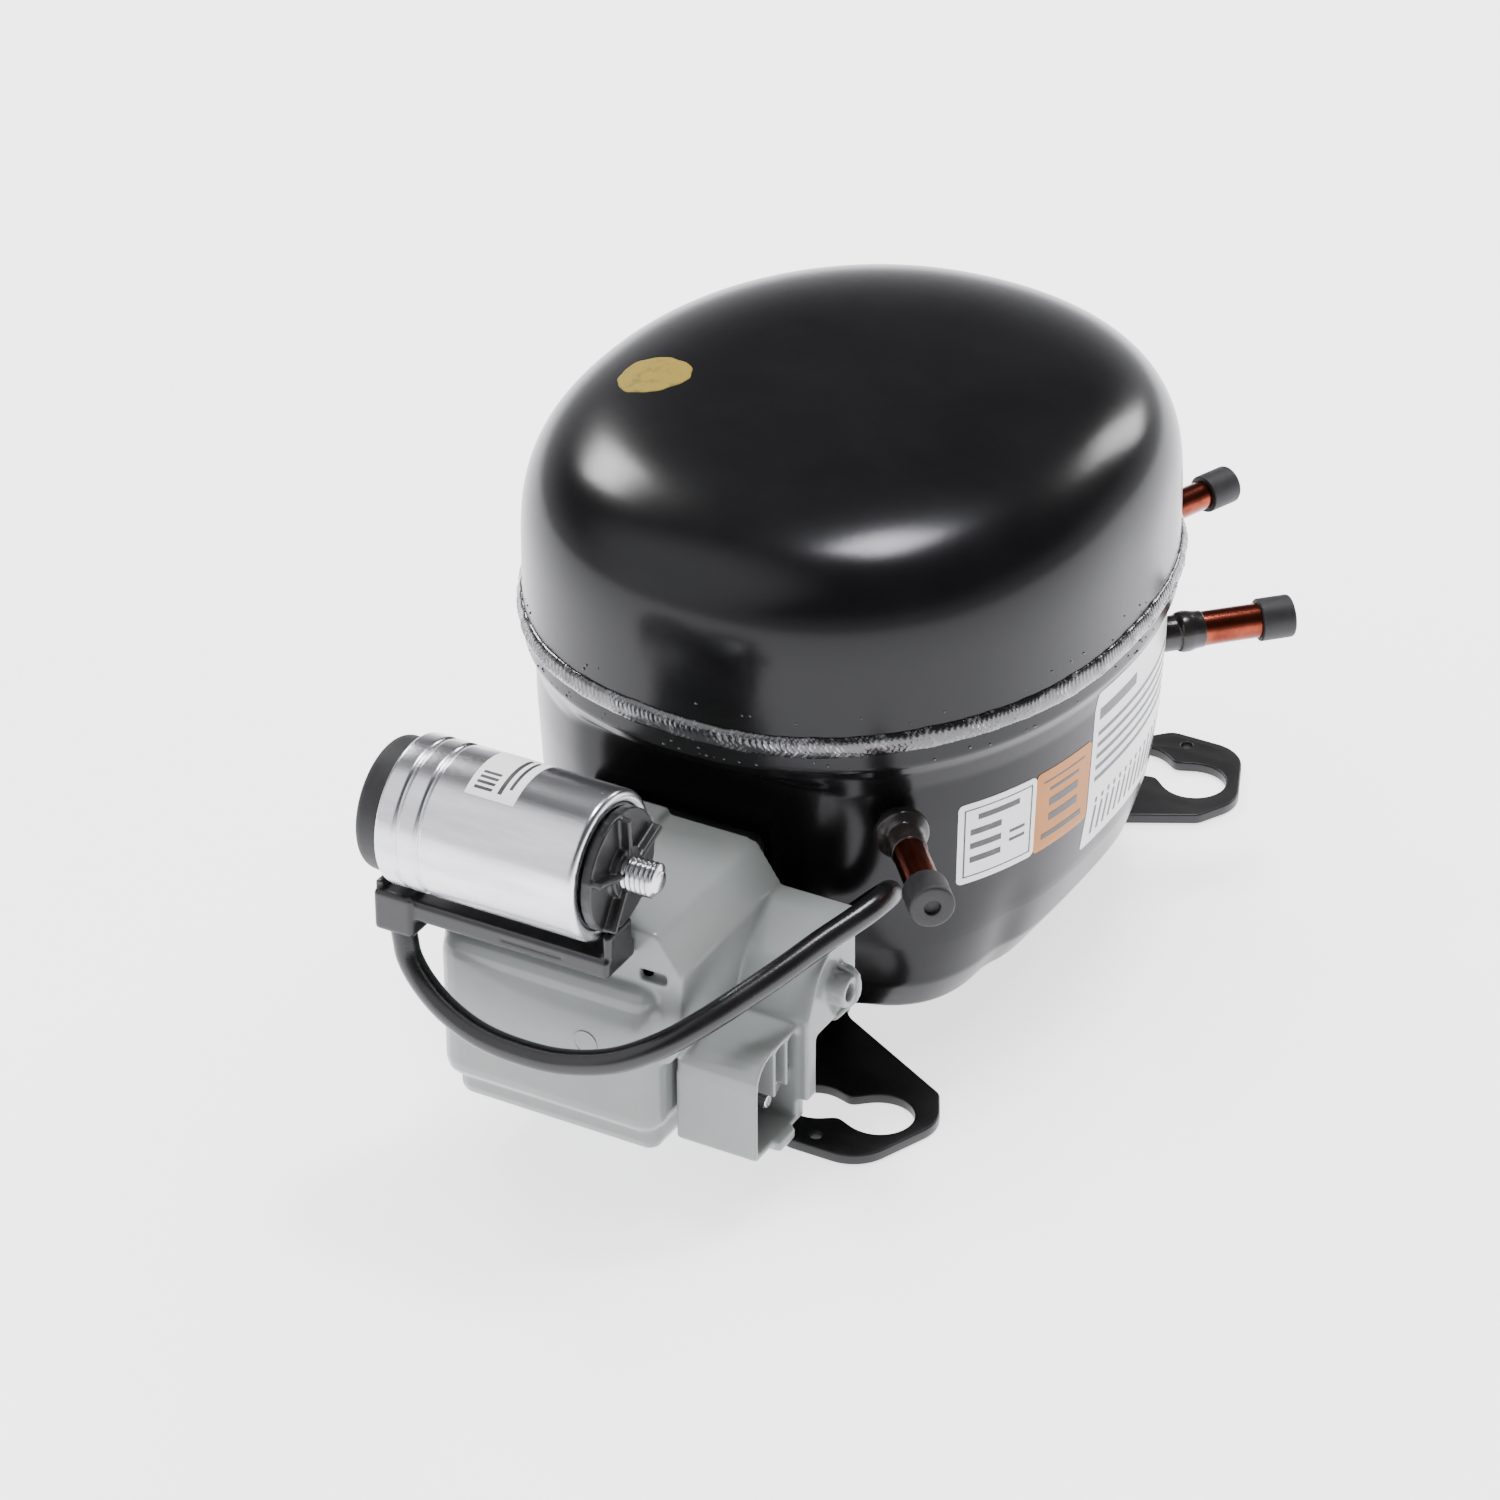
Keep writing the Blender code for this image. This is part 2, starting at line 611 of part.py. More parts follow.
def terminals():
    """Header plug in the shell's flat, its pins, and the fence that the box clips over."""
    header = rod("terminal_header", (TERMINAL_X, FLAT_Y - 0.0012, TERMINAL_Z),
                 (TERMINAL_X, FLAT_Y - 0.0012 + HEADER_THICKNESS, TERMINAL_Z), HEADER_RADIUS,
                 "zinc_steel", segments=28)
    for name, x, z in terminal_pins():
        start, end = (x, FLAT_Y + 0.008, z), (x, FLAT_Y - 0.014, z)
        cut(header, rod(name + "_seal", start, end, PIN_RADIUS + GAP, segments=12))
        rod("terminal_pin_" + name, start, end, PIN_RADIUS, "zinc_steel", segments=10)
    left, right = COVER_LEFT_X + COVER_WALL + 0.0010, TERMINAL_X + 0.0245
    low, high = 0.0190, 0.0650
    fence = box("terminal_fence", (left, COVER_BACK_Y - 0.006, low), (right, FLAT_Y - GAP - 0.0005, high),
                "satin_black_paint", 0.003)
    cut(fence, box("fence_inside", (left + FENCE_WALL, COVER_BACK_Y - 0.02, low + FENCE_WALL),
                   (right - FENCE_WALL, FLAT_Y + 0.02, high - FENCE_WALL)))


def starter_parts():
    """Starting relay on two pins and overload protector on the third."""
    back, split = FLAT_Y - 0.0030, TERMINAL_Z + 0.0012
    relay = box("starter_relay", (TERMINAL_X - 0.021, back - 0.026, 0.0215),
                (TERMINAL_X + 0.021, back, split), "black_plastic", 0.0015)
    protector = turned("overload_protector",
                       [(0, 0), (0.0095, 0), (0.0095, -0.010), (0.0080, -0.012), (0, -0.012)],
                       (TERMINAL_X, back - 0.012, split + GAP + 0.0100), (0, 1, 0),
                       "black_plastic", steps=20)
    for name, x, z in terminal_pins():
        socket = rod(name + "_socket", (x, back + 0.005, z), (x, FLAT_Y - 0.015, z),
                     PIN_RADIUS + GAP, segments=12)
        cut(protector if name == "common" else relay, socket)


# ---------------------------------------------------------------- electrical box
def terminal_cover():
    """Moulded grey box: two tiers, a sloping hood, the connector bay, a boss and its plate."""
    wall = COVER_WALL
    back, upper, lower = COVER_BACK_Y, UPPER_FRONT_Y, LOWER_FRONT_Y
    left, right = COVER_LEFT_X, COVER_RIGHT_X
    shoulder_x, shoulder_z = right - 0.0065, COVER_TOP_Z - 0.0095
    middle_z = LOWER_TOP_Z - 0.020
    cover = slab("terminal_cover",
                 [(left, middle_z, 0), (right - 0.004, middle_z, 0), (right, middle_z + 0.006, 0),
                  (right, shoulder_z, 0.002), (shoulder_x, COVER_TOP_Z, 0.003),
                  (left, COVER_TOP_Z, 0.003)],
                 upper, back + 0.004, "Y", "grey_plastic", rounding=0.0024, segments=3, steps=3)
    hood_low, leg_back = HOOD_BOTTOM_Z, back - HOOD_DEPTH
    leg_front, leg_low = leg_back - 0.0045, BAY_BOTTOM_Z + LEG_FOOT
    wing_profile = [(back + 0.005, WING_TOP_Z, 0.0), (back - 0.005, WING_TOP_Z, 0.004),
                    (back - 0.017, WING_TOP_Z - 0.0085, 0.008), (leg_front, BAY_TOP_Z + 0.001, 0.004),
                    (leg_front, leg_low, 0), (leg_back, leg_low, 0), (leg_back, hood_low, 0),
                    (back + 0.005, hood_low, 0.0)]
    bay_front, bay_back = back - BAY_DEPTH, leg_back - 0.0012
    boss_y = back - BOSS_AHEAD
    plate_left, plate_right = WING_RIGHT_X - 0.0030, WING_RIGHT_X + 0.0055
    join(cover,
         box("lower_tier", (left - 0.0005, lower, COVER_BOTTOM_Z + 0.006), (right - 0.0055, back + 0.007, LOWER_TOP_Z),
             rounding=0.0055, segments=4),
         box("bottom_tier", (left + 0.002, lower + 0.004, COVER_BOTTOM_Z), (right - 0.0075, back + 0.006, 0.024),
             rounding=0.003),
         box("top_step", (left + 0.004, back - 0.006, COVER_TOP_Z - 0.004),
             (left + 0.033, back + 0.003, COVER_TOP_Z + 0.0016), rounding=0.0006, segments=1),
         slab("wing", wing_profile, right - 0.007, WING_RIGHT_X, "X", rounding=0.0006, steps=4),
         slab("bay_block", [(bay_front, BAY_BOTTOM_Z, 0.001), (bay_back, BAY_BOTTOM_Z, 0),
                            (bay_back, BAY_TOP_Z, 0), (bay_front, BAY_TOP_Z, 0.0075)],
              BAY_LEFT_X, BAY_RIGHT_X, "X", steps=5),
         box("bay_tongue", (BAY_RIGHT_X - 0.008, back - 0.0330, BAY_BOTTOM_Z - 0.0020),
             (BAY_RIGHT_X + 0.0015, back - 0.0255, BAY_BOTTOM_Z + 0.0012), rounding=0.0006, segments=1),
         rod("boss", (WING_RIGHT_X - 0.002, boss_y, BOSS_Z), (WING_RIGHT_X + BOSS_LENGTH, boss_y, BOSS_Z),
             BOSS_RADIUS, segments=20),
         slab("boss_plate", [(plate_left, BOSS_Z - 0.0110, 0), (plate_right - 0.0055, BOSS_Z - 0.0110, 0.003),
                             (plate_right, BOSS_Z - 0.0030, 0.004), (plate_right, BOSS_Z + 0.0040, 0.0035),
                             (plate_left, BOSS_Z + 0.0050, 0)],
              boss_y + BOSS_RADIUS - 0.0010, boss_y + BOSS_RADIUS + 0.0010, "Y", steps=3))
    open_back = back + 0.010
    cut(cover,
        box("back_trim", (left - 0.01, back, 0.0), (WING_RIGHT_X + 0.01, back + 0.02, COVER_TOP_Z + 0.01)),
        box("upper_cavity", (left + wall, upper + wall, middle_z - 0.004),
            (shoulder_x - wall, open_back, COVER_TOP_Z - wall), rounding=0.0015, segments=1),
        box("lower_cavity", (left + wall - 0.0005, lower + wall, COVER_BOTTOM_Z + 0.008),
            (right - 0.0055 - wall, open_back, LOWER_TOP_Z - wall), rounding=0.003),
        slab("wing_cavity", [(open_back, WING_TOP_Z - wall, 0), (back - 0.006, WING_TOP_Z - wall, 0.003),
                             (leg_back + 0.0010, WING_TOP_Z - 0.0110, 0.006), (leg_back + 0.0010, hood_low + wall, 0.002),
                             (open_back, hood_low + wall, 0)],
             right - 0.010, WING_RIGHT_X - wall, "X", steps=3),
        slab("bay_cavity", [(bay_front + BAY_WALL, BAY_BOTTOM_Z + BAY_WALL, 0),
                            (leg_front - GAP, BAY_BOTTOM_Z + BAY_WALL, 0),
                            (leg_front - GAP, BAY_TOP_Z - BAY_WALL, 0),
                            (bay_front + BAY_WALL, BAY_TOP_Z - BAY_WALL, 0.006)],
             BAY_LEFT_X + BAY_WALL, BAY_RIGHT_X + 0.01, "X", steps=4),
        rod("boss_bore", (WING_RIGHT_X + 0.0002, boss_y, BOSS_Z),
            (WING_RIGHT_X + BOSS_LENGTH + 0.005, boss_y, BOSS_Z), 0.0021, segments=14),
        box("front_slot", (right - 0.0110, upper - 0.005, LOWER_TOP_Z + 0.0012),
            (right - 0.0040, upper + wall + 0.001, LOWER_TOP_Z + 0.0040)))
    ribs = [box(f"bay_rib_{number}", (BAY_LEFT_X + 0.0005, y - 0.0006, BAY_BOTTOM_Z + 0.0125),
                (BAY_RIGHT_X - 0.0004, y + 0.0006, BAY_TOP_Z - 0.0005))
            for number, y in enumerate((bay_front + 0.0095, bay_front + 0.0150), 1)]
    join(cover, *ribs)
    return cover


def supply_terminals():
    """Two curled blade terminals that stand in the connector bay."""
    start = BAY_LEFT_X + BAY_WALL + GAP
    for index, ahead, height in ((1, 0.0295, BAY_BOTTOM_Z + 0.0075), (2, 0.0252, BAY_BOTTOM_Z + 0.0090)):
        middle_y, end = COVER_BACK_Y - ahead, BAY_RIGHT_X - 0.0040
        blade = box(f"supply_terminal_{index}", (start, middle_y - 0.0017, height),
                    (end, middle_y + 0.0017, height + 0.0008), "zinc_steel")
        join(blade,
             box(f"terminal_foot_{index}", (start, middle_y - 0.0017, height - 0.0015),
                 (start + 0.0010, middle_y + 0.0017, height + 0.0025)),
             rod(f"terminal_curl_{index}", (end - 0.0035, middle_y, height + 0.0012),
                 (end + 0.0005, middle_y, height + 0.0012), 0.0017, segments=14))


# ---------------------------------------------------------------- capacitor
def capacitor():
    """Aluminium can with rolled grooves, rubber boot, end cap, threaded stud and holder."""
    radius, left, right = CAN_RADIUS, CAN_LEFT_X, CAN_RIGHT_X
    groove = 0.0008
    profile = [(0, right - 0.0010), (radius - 0.0030, right - 0.0010), (radius - 0.0016, right),
               (radius, right - 0.0014), (radius, left + 0.0125), (radius - groove, left + 0.0115),
               (radius, left + 0.0105), (radius, left + 0.0070), (radius - groove, left + 0.0060),
               (radius, left + 0.0050), (radius, left + 0.0008), (radius - 0.0008, left), (0, left)]
    turned("capacitor_can", profile, (0, CAN_Y, CAN_Z), (1, 0, 0), "aluminium", steps=28)
    end, rubber = left - GAP, radius - 0.0020
    turned("capacitor_boot",
           [(0, end), (rubber, end), (rubber, end - BOOT_LENGTH + 0.002),
            (rubber - 0.0015, end - BOOT_LENGTH), (0, end - BOOT_LENGTH)],
           (0, CAN_Y, CAN_Z), (1, 0, 0), "black_rubber", steps=28)
    face = right + GAP
    cap_radius = END_CAP_RADIUS
    plate_end, hub_end = face + 0.0025, face + 0.0040
    cap = turned("capacitor_end_cap",
                 [(0, hub_end), (0.0060, hub_end), (0.0060, plate_end), (cap_radius, plate_end),
                  (cap_radius, face), (0, face)],
                 (0, CAN_Y, CAN_Z), (1, 0, 0), "black_plastic", steps=24)
    for index, degrees in enumerate((20, 92, 164, 236, 308)):
        angle = math.radians(degrees)
        out = Vector((0, math.cos(angle), math.sin(angle)))
        side = Vector((0, -out.z, out.y)) * 0.0007
        middle = Vector((0, CAN_Y, CAN_Z))
        spoke = box(f"end_cap_rib_{index}", (face + 0.001, -0.0007, 0.0040),
                    (face + 0.0052, 0.0007, cap_radius - 0.0004))
        spoke.location = middle + out * (0.0040 + cap_radius - 0.0004) / 2 + Vector((face + 0.0031, 0, 0))
        spoke.rotation_euler.x = angle - math.pi / 2
        join(cap, spoke)
    stud_start = hub_end + GAP
    turned("capacitor_stud",
           [(0, stud_start + STUD_LENGTH * 0.8), (STUD_RADIUS - 0.0007, stud_start + STUD_LENGTH * 0.8),
            (STUD_RADIUS, stud_start + STUD_LENGTH * 0.8 - 0.0007), (STUD_RADIUS, stud_start),
            (0, stud_start)],
           (0, CAN_Y, CAN_Z), (1, 0, 0), "zinc_steel", steps=16)
    bracket(face + 0.0022)


def bracket(right_x):
    """Black holder: a bar under the can, an upright at its right end and a lead clip at its left."""
    back_y = UPPER_FRONT_Y - GAP
    front_y = back_y - BRACKET_DEPTH
    top_z = CAN_Z - CAN_RADIUS - 0.0030
    low_z = max(top_z - BRACKET_HEIGHT, LOWER_TOP_Z + GAP)
    left_x = CAN_LEFT_X - 0.0065
    clip_low = LEAD_ROUTE[0][2] + 0.6 * LEAD_RADIUS    # the lead's end is cut at a slant
    bar = box("capacitor_bracket", (left_x, front_y, low_z), (right_x, back_y, top_z),
              "black_plastic", 0.0008, 1)
    join(bar,
         box("bracket_upright", (right_x - 0.0022, front_y + 0.001, top_z - 0.002),
             (right_x, back_y - 0.001, CAN_Z - END_CAP_RADIUS - GAP), rounding=0.0008, segments=1),
         box("bracket_clip", (left_x - 0.0008, front_y - 0.0008, clip_low),
             (left_x + 0.0095, LOWER_FRONT_Y - 0.0015, top_z + 0.001), rounding=0.0008, segments=1),
         box("bracket_left_wall", (left_x - 0.0008, front_y + 0.001, top_z - 0.002),
             (left_x + 0.0010, back_y - 0.002, CAN_Z - CAN_RADIUS - 0.0005)))
    cut(bar, box("bracket_window", (-0.012, front_y - 0.002, low_z + 0.0022), (0.004, front_y + 0.004, top_z - 0.002)),
        box("bracket_hollow", (left_x + 0.012, front_y + 0.004, low_z - 0.01),
            (right_x - 0.004, back_y - 0.003, top_z - 0.002)))
    return bar


# ---------------------------------------------------------------- pump
def cylinder_block():
    """Casting with the shaft's hub, the barrel, and four legs that stand on the stator."""
    barrel_radius = BORE_RADIUS + BARREL_WALL
    block = box("cylinder_block", (-0.041, CRANK_Y - 0.041, BLOCK_BOTTOM_Z),
                (0.041, CRANK_Y + 0.041, BLOCK_TOP_Z), "cast_iron", 0.004, 1)
    hub_bottom = STATOR_TOP_Z + 0.0055
    join(block,
         rod("hub", (0, CRANK_Y, hub_bottom), (0, CRANK_Y, BLOCK_TOP_Z - 0.001), 0.0145),
         rod("barrel", (0, BARREL_START_Y, BORE_Z), (0, BARREL_END_Y, BORE_Z), barrel_radius, segments=28),
         box("barrel_foot", (-0.013, BARREL_START_Y + 0.001, BLOCK_TOP_Z - 0.002),
             (0.013, CRANK_Y + 0.041, BORE_Z - BORE_RADIUS - 0.001)),
         box("barrel_flange", (-HEAD_HALF_X, BARREL_END_Y - 0.005, BORE_Z - HEAD_HALF_Z),
             (HEAD_HALF_X, BARREL_END_Y, BORE_Z + HEAD_HALF_Z)))
    for side_x in (-1, 1):
        for side_y in (-1, 1):
            x, y = side_x * 0.0350, CRANK_Y + side_y * 0.0350
            join(block, rod("leg", (x, y, STATOR_TOP_Z + GAP), (x, y, BLOCK_BOTTOM_Z + 0.003), 0.0045,
                            segments=12))
    cut(block,
        rod("shaft_bore", (0, CRANK_Y, hub_bottom - 0.01), (0, CRANK_Y, BLOCK_TOP_Z + 0.01),
            SHAFT_RADIUS + GAP, segments=28),
        rod("cylinder_bore", (0, BARREL_START_Y - 0.005, BORE_Z), (0, BARREL_END_Y + 0.005, BORE_Z),
            BORE_RADIUS, segments=32))
    for x, z in bolt_places():
        cut(block, rod("flange_bolt_hole", (x, BARREL_END_Y - 0.01, z), (x, BARREL_END_Y + 0.01, z),
                       BOLT_RADIUS + GAP, segments=12))
    return block


def bolt_places():
    """Centres (x, z) of the four cylinder-head bolts."""
    return [(side_x * (HEAD_HALF_X - 0.0032), BORE_Z + side_z * (HEAD_HALF_Z - 0.0032))
            for side_x in (-1, 1) for side_z in (-1, 1)]


def head_stack():
    """Valve plate, gasket, cylinder head and bolts, and the two reeds on the valve plate."""
    plate_y = BARREL_END_Y + GAP
    gasket_y = plate_y + VALVE_PLATE_THICKNESS + GAP
    head_y = gasket_y + GASKET_THICKNESS + GAP
    head_end = head_y + HEAD_THICKNESS
    low_z, high_z = BORE_Z - HEAD_HALF_Z, BORE_Z + HEAD_HALF_Z
    plate = box("valve_plate", (-HEAD_HALF_X, plate_y, low_z),
                (HEAD_HALF_X, plate_y + VALVE_PLATE_THICKNESS, high_z), "spring_steel")
    gasket = box("head_gasket", (-HEAD_HALF_X, gasket_y, low_z),
                 (HEAD_HALF_X, gasket_y + GASKET_THICKNESS, high_z), "gasket")
    head = box("cylinder_head", (-HEAD_HALF_X, head_y, low_z), (HEAD_HALF_X, head_end, high_z),
               "aluminium", 0.0015, 1)
    port_z = PORT_OFF_Z
    chamber = 0.0085
    cut(plate,
        rod("suction_port", (0, plate_y - 0.01, BORE_Z - port_z), (0, plate_y + 0.01, BORE_Z - port_z), 0.0025,
            segments=12),
        rod("discharge_port", (0, plate_y - 0.01, BORE_Z + port_z), (0, plate_y + 0.01, BORE_Z + port_z), 0.0020,
            segments=12))
    for number, (x, z) in enumerate(bolt_places(), 1):
        hole = rod("bolt_hole", (x, plate_y - 0.02, z), (x, head_end + 0.02, z), BOLT_RADIUS + GAP, segments=12)
        cut(plate, hole)
        cut(gasket, hole)
        cut(head, hole)
        shank_end, head_face = -0.0040, head_end - plate_y + GAP
        turned(f"head_bolt_{number}",
               [(0, head_face + 0.0025), (0.0034, head_face + 0.0025), (0.0034, head_face),
                (BOLT_RADIUS, head_face), (BOLT_RADIUS, shank_end), (0, shank_end)],
               (x, plate_y, z), (0, 1, 0), "zinc_steel", steps=10)
    for target, start, end in ((gasket, gasket_y - 0.01, gasket_y + 0.01),
                               (head, head_y - 0.01, head_y + 0.0060)):
        cut(target, box("chamber", (-chamber, start, BORE_Z - chamber), (chamber, end, BORE_Z + chamber)))
    reed_half, tip_x = REED_HALF_WIDTH, REED_ROOT_X + REED_LENGTH
    face_in, face_out = plate_y, plate_y + VALVE_PLATE_THICKNESS
    recess = REED_THICKNESS + 2 * GAP
    reeds = (("suction_reed", BORE_Z - port_z, face_in, 1), ("discharge_reed", BORE_Z + port_z, face_out, -1))
    for name, z, face, inward in reeds:
        lip = GAP if inward > 0 else -GAP
        near, far = sorted((face + lip * 0.3, face + lip * 0.3 + inward * REED_THICKNESS))
        slab(name, [(REED_ROOT_X, z - reed_half, 0.001), (tip_x, z - reed_half, 0.003),
                    (tip_x, z + reed_half, 0.003), (REED_ROOT_X, z + reed_half, 0.001)],
             near, far, "Y", "spring_steel", steps=3)
        pocket = sorted((face - inward * 0.01, face + inward * recess))
        cut(plate, box(name + "_pocket", (REED_ROOT_X - 0.0005, pocket[0], z - reed_half - GAP),
                       (tip_x + 0.0005, pocket[1], z + reed_half + GAP)))


def crankshaft():
    """Shaft, web and crank pin in one piece, with a recess for the gallery plug."""
    web_top = WEB_BOTTOM_Z + WEB_THICKNESS
    shaft = rod("crankshaft", (0, CRANK_Y, SHAFT_BOTTOM_Z), (0, CRANK_Y, WEB_BOTTOM_Z + 0.001),
                SHAFT_RADIUS, "cast_iron", segments=28)
    web = rod("web", (0, CRANK_Y, WEB_BOTTOM_Z), (0, CRANK_Y, web_top), WEB_RADIUS, segments=28)
    pin = rod("crank_pin", (0, CRANK_PIN_Y, web_top - 0.001), (0, CRANK_PIN_Y, PIN_TOP_Z),
              CRANK_PIN_RADIUS, segments=28)
    join(shaft, web, pin)
    cut(shaft, rod("gallery", (0, PLUG_Y, PIN_TOP_Z - PLUG_DEPTH - GAP), (0, PLUG_Y, PIN_TOP_Z + 0.01),
                   PLUG_RADIUS + GAP, segments=16))
    turned("gallery_plug",
           [(0, PLUG_DEPTH + 0.0006), (PLUG_RADIUS, PLUG_DEPTH + 0.0006), (PLUG_RADIUS, 0), (0, 0)],
           (0, PLUG_Y, PIN_TOP_Z - PLUG_DEPTH), (0, 0, 1), "zinc_steel", steps=14)


def piston_and_slide():
    """Square slide block on the crank pin, in the slot of the yoke that carries the piston."""
    low_z, high_z = BORE_Z - SLIDE_HEIGHT / 2, BORE_Z + SLIDE_HEIGHT / 2
    block = box("slide_block", (-SLIDE_HALF, -SLIDE_HALF, low_z), (SLIDE_HALF, SLIDE_HALF, high_z),
                "cast_iron", 0.0006, 1)
    block.location.y = CRANK_PIN_Y
    cut(block, rod("slide_bore", (0, CRANK_PIN_Y, low_z - 0.01), (0, CRANK_PIN_Y, high_z + 0.01),
                   CRANK_PIN_RADIUS + GAP, segments=28))
    slot_x, slot_y = SLIDE_HALF + CRANK_THROW + 0.0006, SLIDE_HALF + GAP
    yoke = box("piston_yoke", (-slot_x - YOKE_WALL, CRANK_PIN_Y - YOKE_FRONT, low_z),
               (slot_x + YOKE_WALL, CRANK_PIN_Y + YOKE_FRONT, high_z), "cast_iron", 0.0015, 1)
    piston_top = BARREL_END_Y - PLATE_GAP_AT_TOP - 2 * CRANK_THROW
    join(yoke,
         rod("piston_neck", (0, CRANK_PIN_Y + YOKE_FRONT - 0.002, BORE_Z), (0, piston_top - PISTON_LENGTH + 0.002, BORE_Z),
             0.0055, segments=16),
         rod("piston_head", (0, piston_top - PISTON_LENGTH, BORE_Z), (0, piston_top, BORE_Z),
             BORE_RADIUS - GAP, segments=32))
    reed_z, side = BORE_Z - PORT_OFF_Z, REED_HALF_WIDTH + GAP
    cut(yoke,
        box("yoke_slot", (-slot_x, CRANK_PIN_Y - slot_y, low_z - 0.01),
            (slot_x, CRANK_PIN_Y + slot_y, high_z + 0.01)),
        box("reed_relief", (REED_ROOT_X - 0.0010, piston_top - REED_RELIEF, reed_z - side),
            (REED_ROOT_X + REED_LENGTH + 0.0010, piston_top + 0.01, reed_z + side)))


def muffler_and_line():
    """Suction muffler beside the head, and the discharge line that loops to the shell's tube."""
    head_y = BARREL_END_Y + VALVE_PLATE_THICKNESS + GASKET_THICKNESS + 3 * GAP
    right = -HEAD_HALF_X - GAP
    muffler = box("suction_muffler", (right - 0.021, head_y - 0.024, BORE_Z - 0.013),
                  (right - 0.003, head_y + 0.002, BORE_Z + 0.009), "white_plastic", 0.003)
    join(muffler, box("muffler_neck", (right - 0.006, head_y + 0.0005 - 0.006, BORE_Z - 0.004),
                      (right, head_y + 0.0005, BORE_Z + 0.004)))
    exit_y, exit_z = head_y + HEAD_THICKNESS / 2, BORE_Z - 0.006
    root, heading = tube_axis(TUBES["discharge"])
    end = root - heading * (TUBE_INNER_END + GAP)
    route = [(HEAD_HALF_X + GAP, exit_y, exit_z), (HEAD_HALF_X + 0.007, exit_y - 0.0005, exit_z - 0.001),
             (0.0370, 0.0500, 0.1010), (0.0470, 0.0360, 0.0980), (0.0545, 0.0170, 0.0940),
             (0.0570, -0.0020, 0.0900), (0.0550, -0.0130, 0.0860), (0.0525, -0.0110, 0.0815),
             (0.0535, 0.0020, 0.0790), (0.0535, 0.0220, 0.0770), (0.0480, 0.0400, 0.0745),
             tuple(end - heading * 0.014), tuple(end)]
    wire("discharge_line", smooth_path(route, 30), 0.0021, "copper")


# ---------------------------------------------------------------- motor and suspension
def motor():
    """Stator stack with its windings, and the rotor with its cast end rings."""
    half, corner = STATOR_HALF, STATOR_HALF - STATOR_CORNER_CUT
    ring = [(half, corner), (corner, half), (-corner, half), (-half, corner),
            (-half, -corner), (-corner, -half), (corner, -half), (half, -corner)]
    stator = slab("stator_core", [(x, CRANK_Y + y, 0) for x, y in ring], STATOR_BOTTOM_Z, STATOR_TOP_Z,
                  finish="lamination")
    cut(stator, rod("stator_bore", (0, CRANK_Y, STATOR_BOTTOM_Z - 0.01), (0, CRANK_Y, STATOR_TOP_Z + 0.01),
                    STATOR_BORE_RADIUS, segments=32))
    inner, outer, height = STATOR_BORE_RADIUS + 0.0010, WINDING_OUTER_RADIUS, WINDING_HEIGHT
    coil = [(inner + 0.001, height), (outer - 0.003, height), (outer, height - 0.003), (outer, 0), (inner, 0),
            (inner, height - 0.001)]
    turned("winding_upper", coil, (0, CRANK_Y, STATOR_TOP_Z + GAP), (0, 0, 1), "enamelled_wire", closed=True)
    turned("winding_lower", coil, (0, CRANK_Y, STATOR_BOTTOM_Z - GAP), (0, 0, -1), "enamelled_wire", closed=True)
    rotor_bottom, rotor_top = STATOR_BOTTOM_Z + 0.0010, STATOR_TOP_Z - 0.0010
    bore = SHAFT_RADIUS + GAP
    turned("rotor_core", [(ROTOR_RADIUS, rotor_top), (ROTOR_RADIUS, rotor_bottom), (bore, rotor_bottom),
                          (bore, rotor_top)],
           (0, CRANK_Y, 0), (0, 0, 1), "lamination", steps=32, closed=True)
    ring_height, ring_outer, ring_inner = 0.0045, ROTOR_RADIUS - 0.0015, ROTOR_RADIUS - 0.0100
    for name, start, up in (("rotor_ring_upper", rotor_top + GAP, 1), ("rotor_ring_lower", rotor_bottom - GAP, -1)):
        turned(name, [(ring_outer - 0.001, ring_height), (ring_outer, ring_height - 0.001), (ring_outer, 0),
                      (ring_inner, 0), (ring_inner, ring_height)],
               (0, CRANK_Y, start), (0, 0, up), "aluminium", closed=True)
    turned("oil_pickup", [(0.0070, -GAP), (0.0070, -0.004), (0.0035, -0.0135), (0.0022, -0.0135),
                          (0.0055, -0.004), (0.0055, -GAP)],
           (0, CRANK_Y, SHAFT_BOTTOM_Z), (0, 0, 1), "zinc_steel", steps=16, closed=True)


def suspension():
    """Four coil springs between pegs on the bowl and the underside of the stator."""
    corners = [(x, y) for y in (-1, 1) for x in (-1, 1)]
    spring_low = SEAT_BOTTOM_Z + SEAT_FLANGE + GAP
    spring_high = STATOR_BOTTOM_Z - GAP
    rise = spring_high - spring_low - 2 * SPRING_WIRE_RADIUS
    for number, (side_x, side_y) in enumerate(corners, 1):
        x, y = side_x * SPRING_X, CRANK_Y + side_y * SPRING_Y
        peg = SPRING_RADIUS - SPRING_WIRE_RADIUS - 0.0008
        turned(f"spring_seat_{number}",
               [(0, SEAT_FLANGE + 0.007), (peg - 0.001, SEAT_FLANGE + 0.007), (peg, SEAT_FLANGE + 0.005),
                (peg, SEAT_FLANGE), (SPRING_RADIUS + 0.0012, SEAT_FLANGE), (SPRING_RADIUS, 0), (0, 0)],
               (x, y, SEAT_BOTTOM_Z), (0, 0, 1), "spring_steel", steps=12)
        steps = SPRING_TURNS * 8
        points = []
        for step in range(steps + 1):
            angle = 2 * math.pi * SPRING_TURNS * step / steps
            points.append((x + SPRING_RADIUS * math.cos(angle), y + SPRING_RADIUS * math.sin(angle),
                           spring_low + SPRING_WIRE_RADIUS + rise * step / steps))
        wire(f"spring_{number}", points, SPRING_WIRE_RADIUS, "spring_steel")


